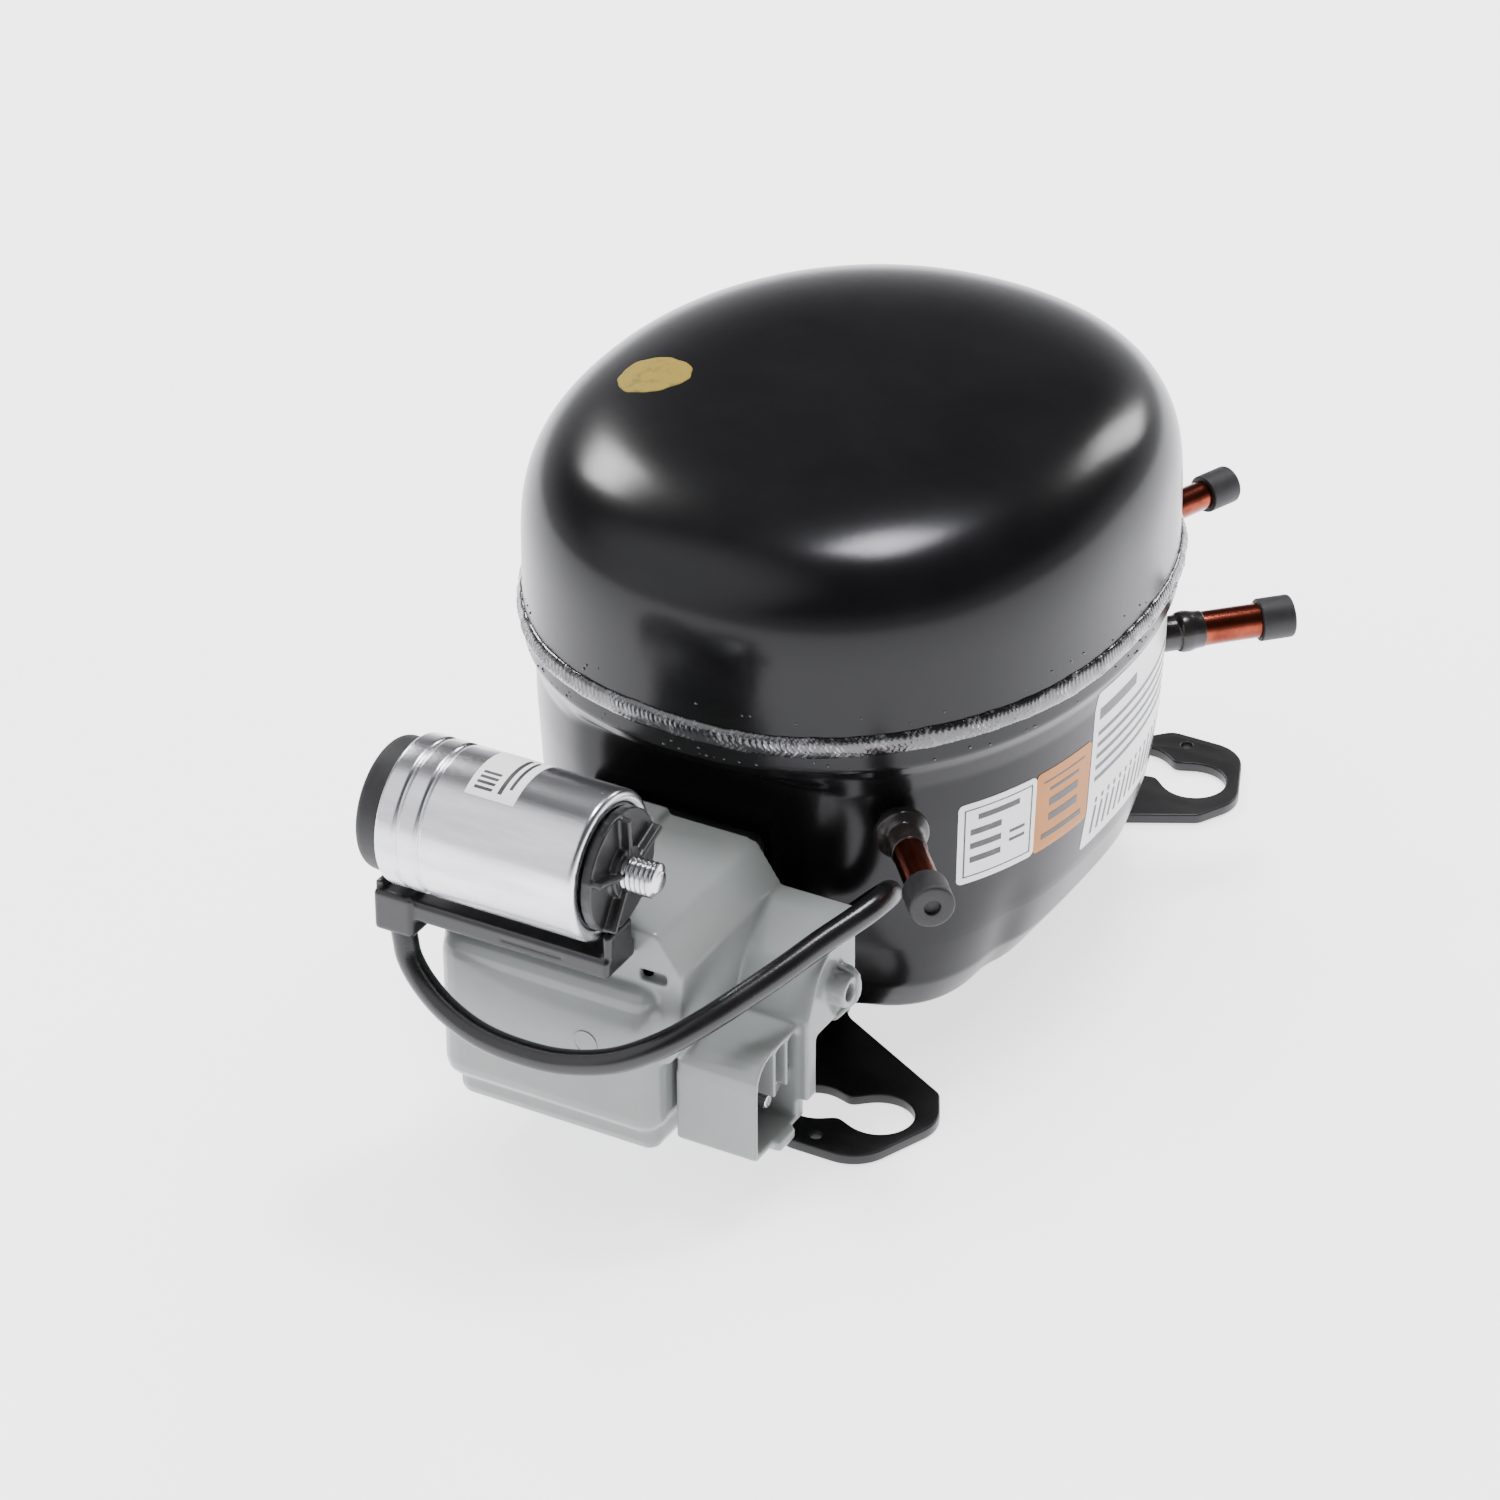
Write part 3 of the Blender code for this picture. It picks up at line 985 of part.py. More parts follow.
# ---------------------------------------------------------------- the assembly
upper_shell()
lower_shell()
weld_bead()
base_plate("base_plate_front", -1)
base_plate("base_plate_rear", 1)
for tube_name, tube_sizes in TUBES.items():
    connecting_tube(tube_name, tube_sizes)
    tube_cap(tube_name, tube_sizes)
terminals()
starter_parts()
terminal_cover()
supply_terminals()
capacitor()
wire("capacitor_lead", smooth_path([(x, COVER_BACK_Y + y, z) for x, y, z in LEAD_ROUTE], LEAD_POINT_COUNT),
     LEAD_RADIUS, "black_cable")
cylinder_block()
head_stack()
crankshaft()
piston_and_slide()
muffler_and_line()
motor()
suspension()
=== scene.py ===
"""The looks of a hermetic reciprocating compressor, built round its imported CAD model.

Every new piece is worked out in world coordinates, in metres, so its object sits at the
origin. The black shell, its weld and its labels come first, then plates, tubes, the
electrical box, the capacitor, its lead, and last the stage, the lights and the camera.
"""
import json
import math

import bmesh
import bpy
import numpy as np
from mathutils import Matrix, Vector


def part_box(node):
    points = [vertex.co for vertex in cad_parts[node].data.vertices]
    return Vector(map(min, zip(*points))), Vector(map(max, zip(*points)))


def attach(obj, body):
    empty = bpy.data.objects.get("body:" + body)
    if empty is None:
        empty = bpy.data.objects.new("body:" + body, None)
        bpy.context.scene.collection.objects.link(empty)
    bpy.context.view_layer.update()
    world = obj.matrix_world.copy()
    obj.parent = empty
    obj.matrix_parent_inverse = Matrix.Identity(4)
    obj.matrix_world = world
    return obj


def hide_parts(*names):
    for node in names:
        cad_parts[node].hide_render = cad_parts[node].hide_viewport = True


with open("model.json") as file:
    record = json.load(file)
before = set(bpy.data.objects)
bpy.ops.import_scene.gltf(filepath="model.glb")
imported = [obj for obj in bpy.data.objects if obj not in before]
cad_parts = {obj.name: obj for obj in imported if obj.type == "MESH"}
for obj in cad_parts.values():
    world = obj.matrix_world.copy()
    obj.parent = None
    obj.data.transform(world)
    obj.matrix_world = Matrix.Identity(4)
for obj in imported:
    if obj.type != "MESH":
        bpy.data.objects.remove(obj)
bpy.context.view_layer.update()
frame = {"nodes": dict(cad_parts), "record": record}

# ---------------------------------------------------------------- places from the frame
UPPER_LOW, UPPER_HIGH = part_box("upper_shell")
CENTRE_X = (UPPER_LOW[0] + UPPER_HIGH[0]) / 2
HALF_X = (UPPER_HIGH[0] - UPPER_LOW[0]) / 2
HALF_Y = (UPPER_HIGH[1] - UPPER_LOW[1]) / 2
SEAM_GAP = 0.00015                # from the middle of the seam to each pressing
SEAM_Z = UPPER_LOW[2] - SEAM_GAP
TOP_Z = UPPER_HIGH[2] - 0.00002   # kept just inside the model's own top
DOME_WALL_HEIGHT = 0.0095
SPRING_LINE_Z = SEAM_Z + DOME_WALL_HEIGHT
SHELL_POWER = 2.2
SHELL_WALL = 0.0026
FLAT_Y = -0.0740
BOWL_LEVELS = np.array([          # height, half width, half length, squareness
    (0.0030, 0.0270, 0.0350, 3.20), (0.0040, 0.0350, 0.0430, 3.20),
    (0.0070, 0.0450, 0.0540, 3.30), (0.0130, 0.0545, 0.0645, 3.20),
    (0.0220, 0.0610, 0.0710, 2.80), (0.0340, 0.0655, 0.0758, 2.45),
    (0.0500, 0.0682, 0.0785, 2.30), (0.0680, 0.0694, 0.0802, 2.25),
    (0.0780, 0.0700, 0.0808, 2.20), (0.0830, 0.0710, 0.0822, 2.20),
    (0.0860, HALF_X, HALF_Y, 2.20), (SEAM_Z, HALF_X, HALF_Y, 2.20)])
LEAD_RADIUS = 0.0030
LEAD_ROUTE = [
    (-0.0385, -0.1415, 0.0572), (-0.0370, -0.1422, 0.0524), (-0.0326, -0.1435, 0.0476),
    (-0.0256, -0.1452, 0.0436), (-0.0164, -0.1465, 0.0408), (-0.0058, -0.1470, 0.0400),
    (0.0051, -0.1462, 0.0404), (0.0163, -0.1440, 0.0430), (0.0255, -0.1390, 0.0470),
    (0.0325, -0.1310, 0.0510), (0.0383, -0.1204, 0.0546), (0.0426, -0.1112, 0.0574),
    (0.0461, -0.1026, 0.0598), (0.0504, -0.0924, 0.0622), (0.0520, -0.0861, 0.0630),
    (0.0512, -0.0798, 0.0614), (0.0482, -0.0753, 0.0578), (0.0439, -0.0736, 0.0532),
    (0.0394, -0.0753, 0.0488), (0.0359, -0.0799, 0.0458), (0.0343, -0.0846, 0.0446),
    (0.0326, -0.0910, 0.0426),
]


# ---------------------------------------------------------------- finishes
def node(tree, kind, **settings):
    """Add a shader node, set its sockets by name and its own settings by attribute."""
    made = tree.nodes.new(kind)
    for key, value in settings.items():
        if key in made.inputs:
            made.inputs[key].default_value = value
        else:
            setattr(made, key, value)
    return made


def finish(name, colour, roughness, metallic=0.0, second=None, mottle=40.0, spread=0.05,
           grain=900.0, depth=0.00002, stretch=(1, 1, 1), detail=4.0, contrast=(0.35, 0.65), **sockets):
    """Principled finish whose colour and roughness drift with one noise and whose bump is a finer one."""
    made = bpy.data.materials.new(name)
    made.use_nodes = True
    tree = made.node_tree
    shader = tree.nodes["Principled BSDF"]
    shader.inputs["Metallic"].default_value = metallic
    for socket, value in sockets.items():
        shader.inputs[socket.replace("_", " ")].default_value = value
    place = node(tree, "ShaderNodeTexCoord")
    turn = node(tree, "ShaderNodeMapping", Scale=stretch)
    tree.links.new(place.outputs["Object"], turn.inputs["Vector"])
    drift = node(tree, "ShaderNodeTexNoise", Scale=mottle, Detail=detail, Roughness=0.6)
    tree.links.new(turn.outputs["Vector"], drift.inputs["Vector"])
    tone = node(tree, "ShaderNodeMapRange")
    tone.inputs["From Min"].default_value, tone.inputs["From Max"].default_value = contrast
    tree.links.new(drift.outputs["Fac"], tone.inputs["Value"])
    blend = node(tree, "ShaderNodeMix", data_type="RGBA")
    blend.inputs[6].default_value = (*colour, 1)
    blend.inputs[7].default_value = (*(second or [c * 0.86 for c in colour]), 1)
    tree.links.new(tone.outputs["Result"], blend.inputs["Factor"])
    tree.links.new(blend.outputs[2], shader.inputs["Base Color"])
    gloss = node(tree, "ShaderNodeMapRange")
    gloss.inputs["To Min"].default_value = max(0.02, roughness - spread)
    gloss.inputs["To Max"].default_value = min(1.0, roughness + spread)
    tree.links.new(drift.outputs["Fac"], gloss.inputs["Value"])
    tree.links.new(gloss.outputs["Result"], shader.inputs["Roughness"])
    fine = node(tree, "ShaderNodeTexNoise", Scale=grain, Detail=2.0)
    tree.links.new(turn.outputs["Vector"], fine.inputs["Vector"])
    relief = node(tree, "ShaderNodeBump", Strength=1.0, Distance=depth)
    tree.links.new(fine.outputs["Fac"], relief.inputs["Height"])
    tree.links.new(relief.outputs["Normal"], shader.inputs["Normal"])
    return made


def banded(made, direction, scale, depth, rings=False):
    """Lay fine bands over a finish: edges of steel sheets, or turns of a winding."""
    tree = made.node_tree
    relief = next(item for item in tree.nodes if item.bl_idname == "ShaderNodeBump")
    place = next(item for item in tree.nodes if item.bl_idname == "ShaderNodeTexCoord")
    bands = node(tree, "ShaderNodeTexWave", Scale=scale, Distortion=0.4)
    bands.wave_type = "RINGS" if rings else "BANDS"
    if rings:
        bands.rings_direction = direction
    else:
        bands.bands_direction = direction
    tree.links.new(place.outputs["Object"], bands.inputs["Vector"])
    second = node(tree, "ShaderNodeBump", Strength=1.0, Distance=depth)
    tree.links.new(bands.outputs["Fac"], second.inputs["Height"])
    tree.links.new(relief.outputs["Normal"], second.inputs["Normal"])
    shader = tree.nodes["Principled BSDF"]
    tree.links.new(second.outputs["Normal"], shader.inputs["Normal"])
    return made


FINISH = {
    "gloss_black_paint": finish("baked black paint", (0.0032, 0.0032, 0.0035), 0.225,
                                second=(0.0050, 0.0050, 0.0054), mottle=26, spread=0.035, grain=520,
                                depth=0.000012, Specular_IOR_Level=0.27),
    "satin_black_paint": finish("satin black paint", (0.005, 0.005, 0.005), 0.40, second=(0.009, 0.009, 0.009),
                                mottle=60, spread=0.08, grain=900, depth=0.00003),
    "copper": finish("tarnished copper", (0.27, 0.058, 0.032), 0.24, 1.0, second=(0.13, 0.026, 0.016), mottle=150,
                     spread=0.10, grain=1500, depth=0.000012),
    "black_rubber": finish("cap rubber", (0.006, 0.006, 0.006), 0.60, second=(0.013, 0.013, 0.013), mottle=260,
                           spread=0.10, grain=2600, depth=0.00005),
    "grey_plastic": finish("moulded grey plastic", (0.262, 0.280, 0.268), 0.20, second=(0.232, 0.250, 0.239),
                           mottle=34, spread=0.05, grain=1700, depth=0.000010, Specular_IOR_Level=0.5,
                           Subsurface_Weight=0.06, Subsurface_Scale=0.002),
    "black_plastic": finish("moulded black plastic", (0.005, 0.005, 0.005), 0.34, second=(0.009, 0.009, 0.009),
                            mottle=120, spread=0.07, grain=2200, depth=0.00003),
    "aluminium": finish("drawn aluminium", (0.80, 0.80, 0.81), 0.24, 1.0, second=(0.58, 0.58, 0.60), mottle=120,
                        spread=0.14, grain=1400, depth=0.000010, stretch=(0.16, 1.0, 1.0), detail=7.0),
    "black_cable": finish("black sleeve", (0.005, 0.005, 0.005), 0.26, second=(0.008, 0.008, 0.008), mottle=90,
                          spread=0.06, grain=1400, depth=0.00002),
    "zinc_steel": finish("bright zinc", (0.74, 0.74, 0.75), 0.22, 1.0, second=(0.52, 0.52, 0.54), mottle=300,
                         spread=0.10, grain=2000, depth=0.00002),
    "cast_iron": finish("cast iron", (0.17, 0.17, 0.175), 0.58, 1.0, second=(0.09, 0.09, 0.095), mottle=210,
                        spread=0.14, grain=1100, depth=0.00016),
    "lamination": banded(
        finish("stacked lamination", (0.26, 0.26, 0.28), 0.46, 1.0, second=(0.15, 0.15, 0.17), mottle=90,
               spread=0.12, grain=1300, depth=0.00004), "Z", 320.0, 0.00012),
    "enamelled_wire": banded(
        finish("enamelled winding", (0.44, 0.17, 0.05), 0.34, 1.0, second=(0.30, 0.09, 0.03), mottle=130,
               spread=0.08, grain=1400, depth=0.00003), "Z", 260.0, 0.00028, True),
    "spring_steel": finish("spring steel", (0.42, 0.42, 0.44), 0.30, 1.0, second=(0.28, 0.28, 0.30), mottle=260,
                           spread=0.10, grain=1800, depth=0.00002),
    "gasket": finish("gasket paper", (0.095, 0.125, 0.115), 0.82, second=(0.06, 0.085, 0.08), mottle=380,
                     spread=0.06, grain=2600, depth=0.00008),
    "white_plastic": finish("natural plastic", (0.70, 0.69, 0.64), 0.46, second=(0.62, 0.61, 0.55), mottle=60,
                            spread=0.06, grain=1500, depth=0.00002),
}
LABEL_WHITE = finish("white label film", (0.86, 0.86, 0.86), 0.32, second=(0.80, 0.80, 0.81), mottle=45,
                     spread=0.05, grain=900, depth=0.000015)
LABEL_ORANGE = finish("orange label film", (0.50, 0.165, 0.0), 0.45, second=(0.45, 0.148, 0.0), mottle=60,
                      spread=0.05, grain=900, depth=0.000015)
LABEL_INK = finish("dark label print", (0.022, 0.022, 0.024), 0.40, second=(0.05, 0.05, 0.052), mottle=400,
                   spread=0.06, grain=1500, depth=0.00001)
YELLOW_PAINT = finish("yellow dab of paint", (0.21, 0.142, 0.0), 0.60, second=(0.085, 0.068, 0.001), mottle=330,
                      spread=0.10, grain=800, depth=0.00010, contrast=(0.52, 0.74))
# The weld's grey second colour, laid in blotches, is a painted highlight standing in for glints on the bead.
WELD_PAINT = finish("painted weld", (0.006, 0.006, 0.007), 0.17, second=(0.16, 0.16, 0.165), mottle=420,
                    spread=0.08, grain=1500, depth=0.00010, contrast=(0.56, 0.72), Specular_IOR_Level=0.9,
                    Coat_Weight=0.6, Coat_Roughness=0.07)
TUBE_BLACK = finish("painted tube root", (0.008, 0.008, 0.008), 0.24, second=(0.02, 0.015, 0.013), mottle=240,
                    spread=0.08, grain=900, depth=0.00004)


def painted_glint_on_crests(made, metal):
    """Let the colour attribute called glint mix bright metal into a paint on the crests of the weld: a painted
    highlight standing in for glints.
    """
    tree = made.node_tree
    shader = tree.nodes["Principled BSDF"]
    crest = node(tree, "ShaderNodeAttribute", attribute_name="glint")
    mix = node(tree, "ShaderNodeMix", data_type="RGBA")
    mix.inputs[7].default_value = (*metal, 1)
    tree.links.new(shader.inputs["Base Color"].links[0].from_socket, mix.inputs[6])
    tree.links.new(crest.outputs["Fac"], mix.inputs["Factor"])
    tree.links.new(mix.outputs[2], shader.inputs["Base Color"])
    tree.links.new(crest.outputs["Fac"], shader.inputs["Metallic"])


painted_glint_on_crests(WELD_PAINT, (0.50, 0.50, 0.52))


# ---------------------------------------------------------------- helpers
def outward(points, faces):
    """Turn every face round if the closed surface's signed volume is negative."""
    volume = 0.0
    for corner in range(1, faces.shape[1] - 1):
        a, b, c = (points[faces[:, index]] for index in (0, corner, corner + 1))
        volume += np.einsum("ij,ij->", a, np.cross(b, c))
    return faces[:, ::-1] if volume < 0 else faces


def piece(name, points, faces, body, material, replaces=(), slot=None, sharp=35):
    """A mesh object of one finish that rides on a body."""
    mesh = bpy.data.meshes.new(name)
    mesh.from_pydata(np.asarray(points, float).tolist(), [], [list(face) for face in faces])
    mesh.validate()
    mesh.materials.append(material)
    made = bpy.data.objects.new(name, mesh)
    bpy.context.scene.collection.objects.link(made)
    mesh.shade_smooth()
    mesh.set_sharp_from_angle(angle=math.radians(sharp))
    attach(made, body)
    if replaces:
        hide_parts(*replaces)
    return made


def grid_faces(rows, columns, around=False, along=False):
    """Quads between neighbouring points of a rows by columns grid, wrapped if asked."""
    row = np.arange(rows if along else rows - 1)
    column = np.arange(columns if around else columns - 1)
    r, c = np.meshgrid(row, column, indexing="ij")
    r2, c2 = (r + 1) % rows, (c + 1) % columns
    corners = [r * columns + c, r * columns + c2, r2 * columns + c2, r2 * columns + c]
    return np.stack(corners, -1).reshape(-1, 4)


def closed_skin(rings):
    """Rings of equal count joined in order, with a fan over the first and the last."""
    rings = np.asarray(rings)
    rows, columns = rings.shape[:2]
    points = np.concatenate([rings.reshape(-1, 3), rings[:1].mean(axis=1), rings[-1:].mean(axis=1)])
    quads = grid_faces(rows, columns, around=True)
    start, end = rows * columns, rows * columns + 1
    column = np.arange(columns)
    after = (column + 1) % columns
    last = (rows - 1) * columns
    start_fan = np.stack([np.full(columns, start), after, column], -1)
    end_fan = np.stack([np.full(columns, end), last + column, last + after], -1)
    fans = np.concatenate([start_fan, end_fan])
    turned = outward(points, quads)
    flipped = not np.array_equal(turned, quads)
    return points, [*turned.tolist(), *(fans[:, ::-1] if flipped else fans).tolist()]


def basis(direction):
    """Two unit vectors across a direction."""
    along = np.asarray(direction, float) / np.linalg.norm(direction)
    helper = np.array([0.0, 0.0, 1.0]) if abs(along[2]) < 0.9 else np.array([1.0, 0.0, 0.0])
    side = np.cross(helper, along)
    side /= np.linalg.norm(side)
    return side, np.cross(along, side), along


def rounded(profile, steps=5):
    """Replace each corner (radius, along, rounding) by an arc-like quadratic curve."""
    profile = np.array(profile, float)
    points = [profile[0, :2]]
    for before, corner, after in zip(profile, profile[1:], profile[2:]):
        r = corner[2]
        if r == 0:
            points.append(corner[:2])
            continue
        back, ahead = before[:2] - corner[:2], after[:2] - corner[:2]
        start = corner[:2] + back / np.linalg.norm(back) * r
        end = corner[:2] + ahead / np.linalg.norm(ahead) * r
        for t in np.linspace(0, 1, steps):
            points.append((1 - t) ** 2 * start + 2 * t * (1 - t) * corner[:2] + t * t * end)
    points.append(profile[-1, :2])
    return np.array(points)


def lathe(name, profile, origin, direction, body, material, segments=72, wave=None, **settings):
    """Profile of (radius, along) turned round an axis, closed at both ends by a fan."""
    side, up, along = basis(direction)
    angle = np.linspace(0, 2 * np.pi, segments, endpoint=False)
    radius = profile[:, :1] + (wave(profile, angle) if wave else 0.0) * np.ones_like(angle)
    across = radius[..., None] * (np.cos(angle)[:, None] * side + np.sin(angle)[:, None] * up)
    rings = np.asarray(origin) + across + profile[:, 1][:, None, None] * along
    points, faces = closed_skin(rings)
    return piece(name, points, faces, body, material, **settings)


def soften(name, node_name, voxel, passes, material, body, sharp=60, most=180000):
    """A merged copy of a CAD node, remeshed finely and smoothed, so edges and corners are moulded."""
    mesh = frame["nodes"][node_name].data.copy()
    shape = bmesh.new()
    shape.from_mesh(mesh)
    bmesh.ops.remove_doubles(shape, verts=shape.verts, dist=0.00001)
    shape.to_mesh(mesh)
    shape.free()
    rough = bpy.data.objects.new(name + "_rough", mesh)
    bpy.context.scene.collection.objects.link(rough)
    remesh = rough.modifiers.new("fine grid", "REMESH")
    remesh.mode, remesh.voxel_size, remesh.adaptivity = "VOXEL", voxel, 0.0
    relax = rough.modifiers.new("relax", "SMOOTH")
    relax.factor, relax.iterations = 0.5, passes
    thin = rough.modifiers.new("thin out", "DECIMATE")
    thin.ratio = 1.0
    graph = bpy.context.evaluated_depsgraph_get()
    dense = rough.evaluated_get(graph).data
    count = len(dense.loop_triangles) or len(dense.polygons) * 2
    if count > most:
        thin.ratio = most / count
        graph = bpy.context.evaluated_depsgraph_get()
    smooth = bpy.data.meshes.new_from_object(rough.evaluated_get(graph))
    bpy.data.objects.remove(rough)
    smooth.name = name
    smooth.materials.clear()
    smooth.materials.append(material)
    made = bpy.data.objects.new(name, smooth)
    bpy.context.scene.collection.objects.link(made)
    smooth.shade_smooth()
    smooth.set_sharp_from_angle(angle=math.radians(sharp))
    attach(made, body)
    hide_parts(node_name)
    return made


def step_up(value, low, high):
    """0 below low, 1 above high, an S curve between."""
    t = np.clip((np.asarray(value, float) - low) / (high - low), 0, 1)
    return t * t * (3 - 2 * t)


# ---------------------------------------------------------------- shell
def oval(half_x, half_y, power, bearing):
    """Distance from the middle of a rounded oval to its edge, in one direction."""
    across, along = np.abs(np.cos(bearing) / half_x), np.abs(np.sin(bearing) / half_y)
    return (across ** power + along ** power) ** (-1 / power)


def bowl_point(bearing, z, out=0.0):
    """Point of the lower shell at a bearing and a height.

    The oval's size and squareness are read between the levels. Near the foot each corner swells by one
    bell curve of the bearing and a flute beside it sinks by another. In front the wall is cut at the flat
    by a soft maximum.
    """
    levels = [np.interp(z, BOWL_LEVELS[:, 0], BOWL_LEVELS[:, column]) for column in (1, 2, 3)]
    reach = oval(*levels, bearing) + out
    low = 1 - step_up(z, 0.026, 0.052)
    turn = np.degrees(np.abs(np.abs((bearing + np.pi) % (2 * np.pi) - np.pi)))
    corner = np.minimum(np.abs(turn - 46), np.abs(turn - 134))
    press = 0.0014 * np.exp(-(corner / 8.0) ** 2) - 0.0013 * np.exp(-((corner - 15) / 5.0) ** 2)
    reach = reach + press * low * step_up(z, 0.003, 0.010)
    x, y = CENTRE_X + reach * np.cos(bearing), reach * np.sin(bearing)
    soft = 0.0009
    flat = FLAT_Y - out + soft * np.logaddexp(0, (y - FLAT_Y + out) / soft)
    share = step_up(z, 0.017, 0.022) * (1 - step_up(z, 0.0785, 0.0830))
    return np.stack([x, y + (flat - y) * share, z + 0 * x], -1)


def dome_point(bearing, angle, out=0.0):
    """Point of the dome: reach is cos(angle)^0.5 and rise is sin(angle)^0.5 of its quarter."""
    reach, rise = np.cos(angle) ** 0.5, np.sin(angle) ** 0.5
    power = SHELL_POWER - 0.2 * rise ** 4
    distance = oval(HALF_X * reach + 1e-6, HALF_Y * reach + 1e-6, power, bearing) + out
    z = SPRING_LINE_Z + (TOP_Z - SPRING_LINE_Z + out) * rise
    return np.stack([CENTRE_X + distance * np.cos(bearing), distance * np.sin(bearing), z + 0 * distance], -1)


def shell_skins():
    """Both pressings as closed grids: an outer skin and, a wall inside it, an inner one."""
    bearing = np.linspace(0, 2 * np.pi, 288, endpoint=False)[None, :]
    wall_z = np.linspace(SEAM_Z + SEAM_GAP, SPRING_LINE_Z, 6)[:, None]
    quarter = np.concatenate([np.linspace(0.4, 20, 10), np.linspace(23, 80, 24), [83, 86, 88, 89.4]])
    angle = np.radians(quarter)[:, None]

    def dome(out):
        straight = oval(HALF_X, HALF_Y, SHELL_POWER, bearing) + out + 0 * wall_z
        x, y = CENTRE_X + straight * np.cos(bearing), straight * np.sin(bearing)
        band = np.stack([x, y, wall_z + 0 * straight], -1)
        return np.concatenate([band, dome_point(bearing, angle, out)])

    points, faces = closed_skin(np.concatenate([dome(-SHELL_WALL)[::-1], dome(0.0)]))
    piece("dome_skin", points, faces, "shell", FINISH["gloss_black_paint"], ("upper_shell",),
          "gloss_black_paint", 50)
    height = np.concatenate([np.linspace(0.0030, 0.0070, 8), np.linspace(0.0078, 0.0340, 30),
                             np.linspace(0.0365, 0.0760, 22), np.linspace(0.0770, SEAM_Z - SEAM_GAP, 22)])
    height = height[:, None]

    def bowl(out):
        floor = bowl_point(bearing, height[:1], out)
        middle = floor.mean(axis=1, keepdims=True)
        spread = np.linspace(0.05, 0.95, 10)[:, None, None]
        rings = np.concatenate([middle + (floor - middle) * spread, bowl_point(bearing, height, out)])
        z = rings[..., 2]
        rings[..., 2] = np.where(z < 0.02, z - out * (1 - step_up(z, 0.004, 0.02)), z)
        return rings

    points, faces = closed_skin(np.concatenate([bowl(0.0), bowl(-SHELL_WALL)[::-1]]))
    piece("bowl_skin", points, faces, "shell", FINISH["gloss_black_paint"], ("lower_shell",),
          "gloss_black_paint", 50)


def weld_ring():
    """Half-round ring round the seam, as wide as the bead.

    It stands out by a cosine across it, raised by a cosine ripple every 1.25 mm whose phase slants with
    the turn across, and by slow lumps that are a sum of sines of the bearing.
    """
    random = np.random.default_rng(7)
    count, across = 1500, 17
    bearing = np.linspace(0, 2 * np.pi, count, endpoint=False)[:, None]
    turn = np.linspace(-np.pi / 2, np.pi / 2, across)[None, :]
    run = bearing * (HALF_X + HALF_Y) / 2
    lumps = sum(random.uniform(0.4, 1.0) * np.sin(bearing * k + random.uniform(0, 6.28))
                for k in (5, 9, 14, 23, 37, 61, 97)) / 4
    curl = 0.0014 * np.cos(turn) ** 2
    phase = (run + 2.2 * curl + 0.0024 * np.sin(turn) + 0.0010 * np.sin(bearing * 11)) / 0.00125
    ripple = 0.5 + 0.5 * np.cos(2 * np.pi * phase + 0.7 * np.sin(2 * np.pi * phase))
    strength = np.clip(0.6 + 0.5 * lumps, 0.15, 1.1)
    out = 0.0012 * np.cos(turn) * (1 + 0.16 * lumps) + 0.00052 * ripple * strength * np.cos(turn) ** 1.2
    half = 0.0027 * (1 + 0.10 * np.roll(lumps, 90, axis=0))
    reach = oval(HALF_X, HALF_Y, SHELL_POWER, bearing) + out
    ring = np.stack([CENTRE_X + reach * np.cos(bearing), reach * np.sin(bearing),
                     SEAM_Z + half * np.sin(turn) + 0.0003 * np.sin(bearing * 6)], -1)
    inner = ring[:, ::-1].copy()
    inner_reach = oval(HALF_X, HALF_Y, SHELL_POWER, bearing) - 0.0004
    inner[..., 0] = CENTRE_X + inner_reach * np.cos(bearing)
    inner[..., 1] = inner_reach * np.sin(bearing)
    section = np.concatenate([ring, inner[:, ::4]], axis=1)
    faces = grid_faces(count, section.shape[1], around=True, along=True)
    points = section.reshape(-1, 3)
    made = piece("weld_ring", points, outward(points, faces), "shell", WELD_PAINT, ("weld_bead",),
                 "gloss_black_paint", 80)
    # The glint attribute is a painted highlight: crests of the ripple, in patches, turn to lighter metal in place
    # of glints.
    shift = 1.5 * np.roll(lumps, 200, axis=0)
    patches = np.clip(0.10 + shift + 0.55 * np.sin(bearing * 43 + 2.2 * turn), 0.0, 1)
    glint = step_up(ripple, 0.62, 0.97) * patches * np.cos(turn) ** 0.6
    shine = np.concatenate([glint, np.zeros_like(inner[:, ::4, 0])], axis=1)
    stored = made.data.attributes.new("glint", "FLOAT", "POINT")
    stored.data.foreach_set("value", shine.ravel().astype(np.float32))


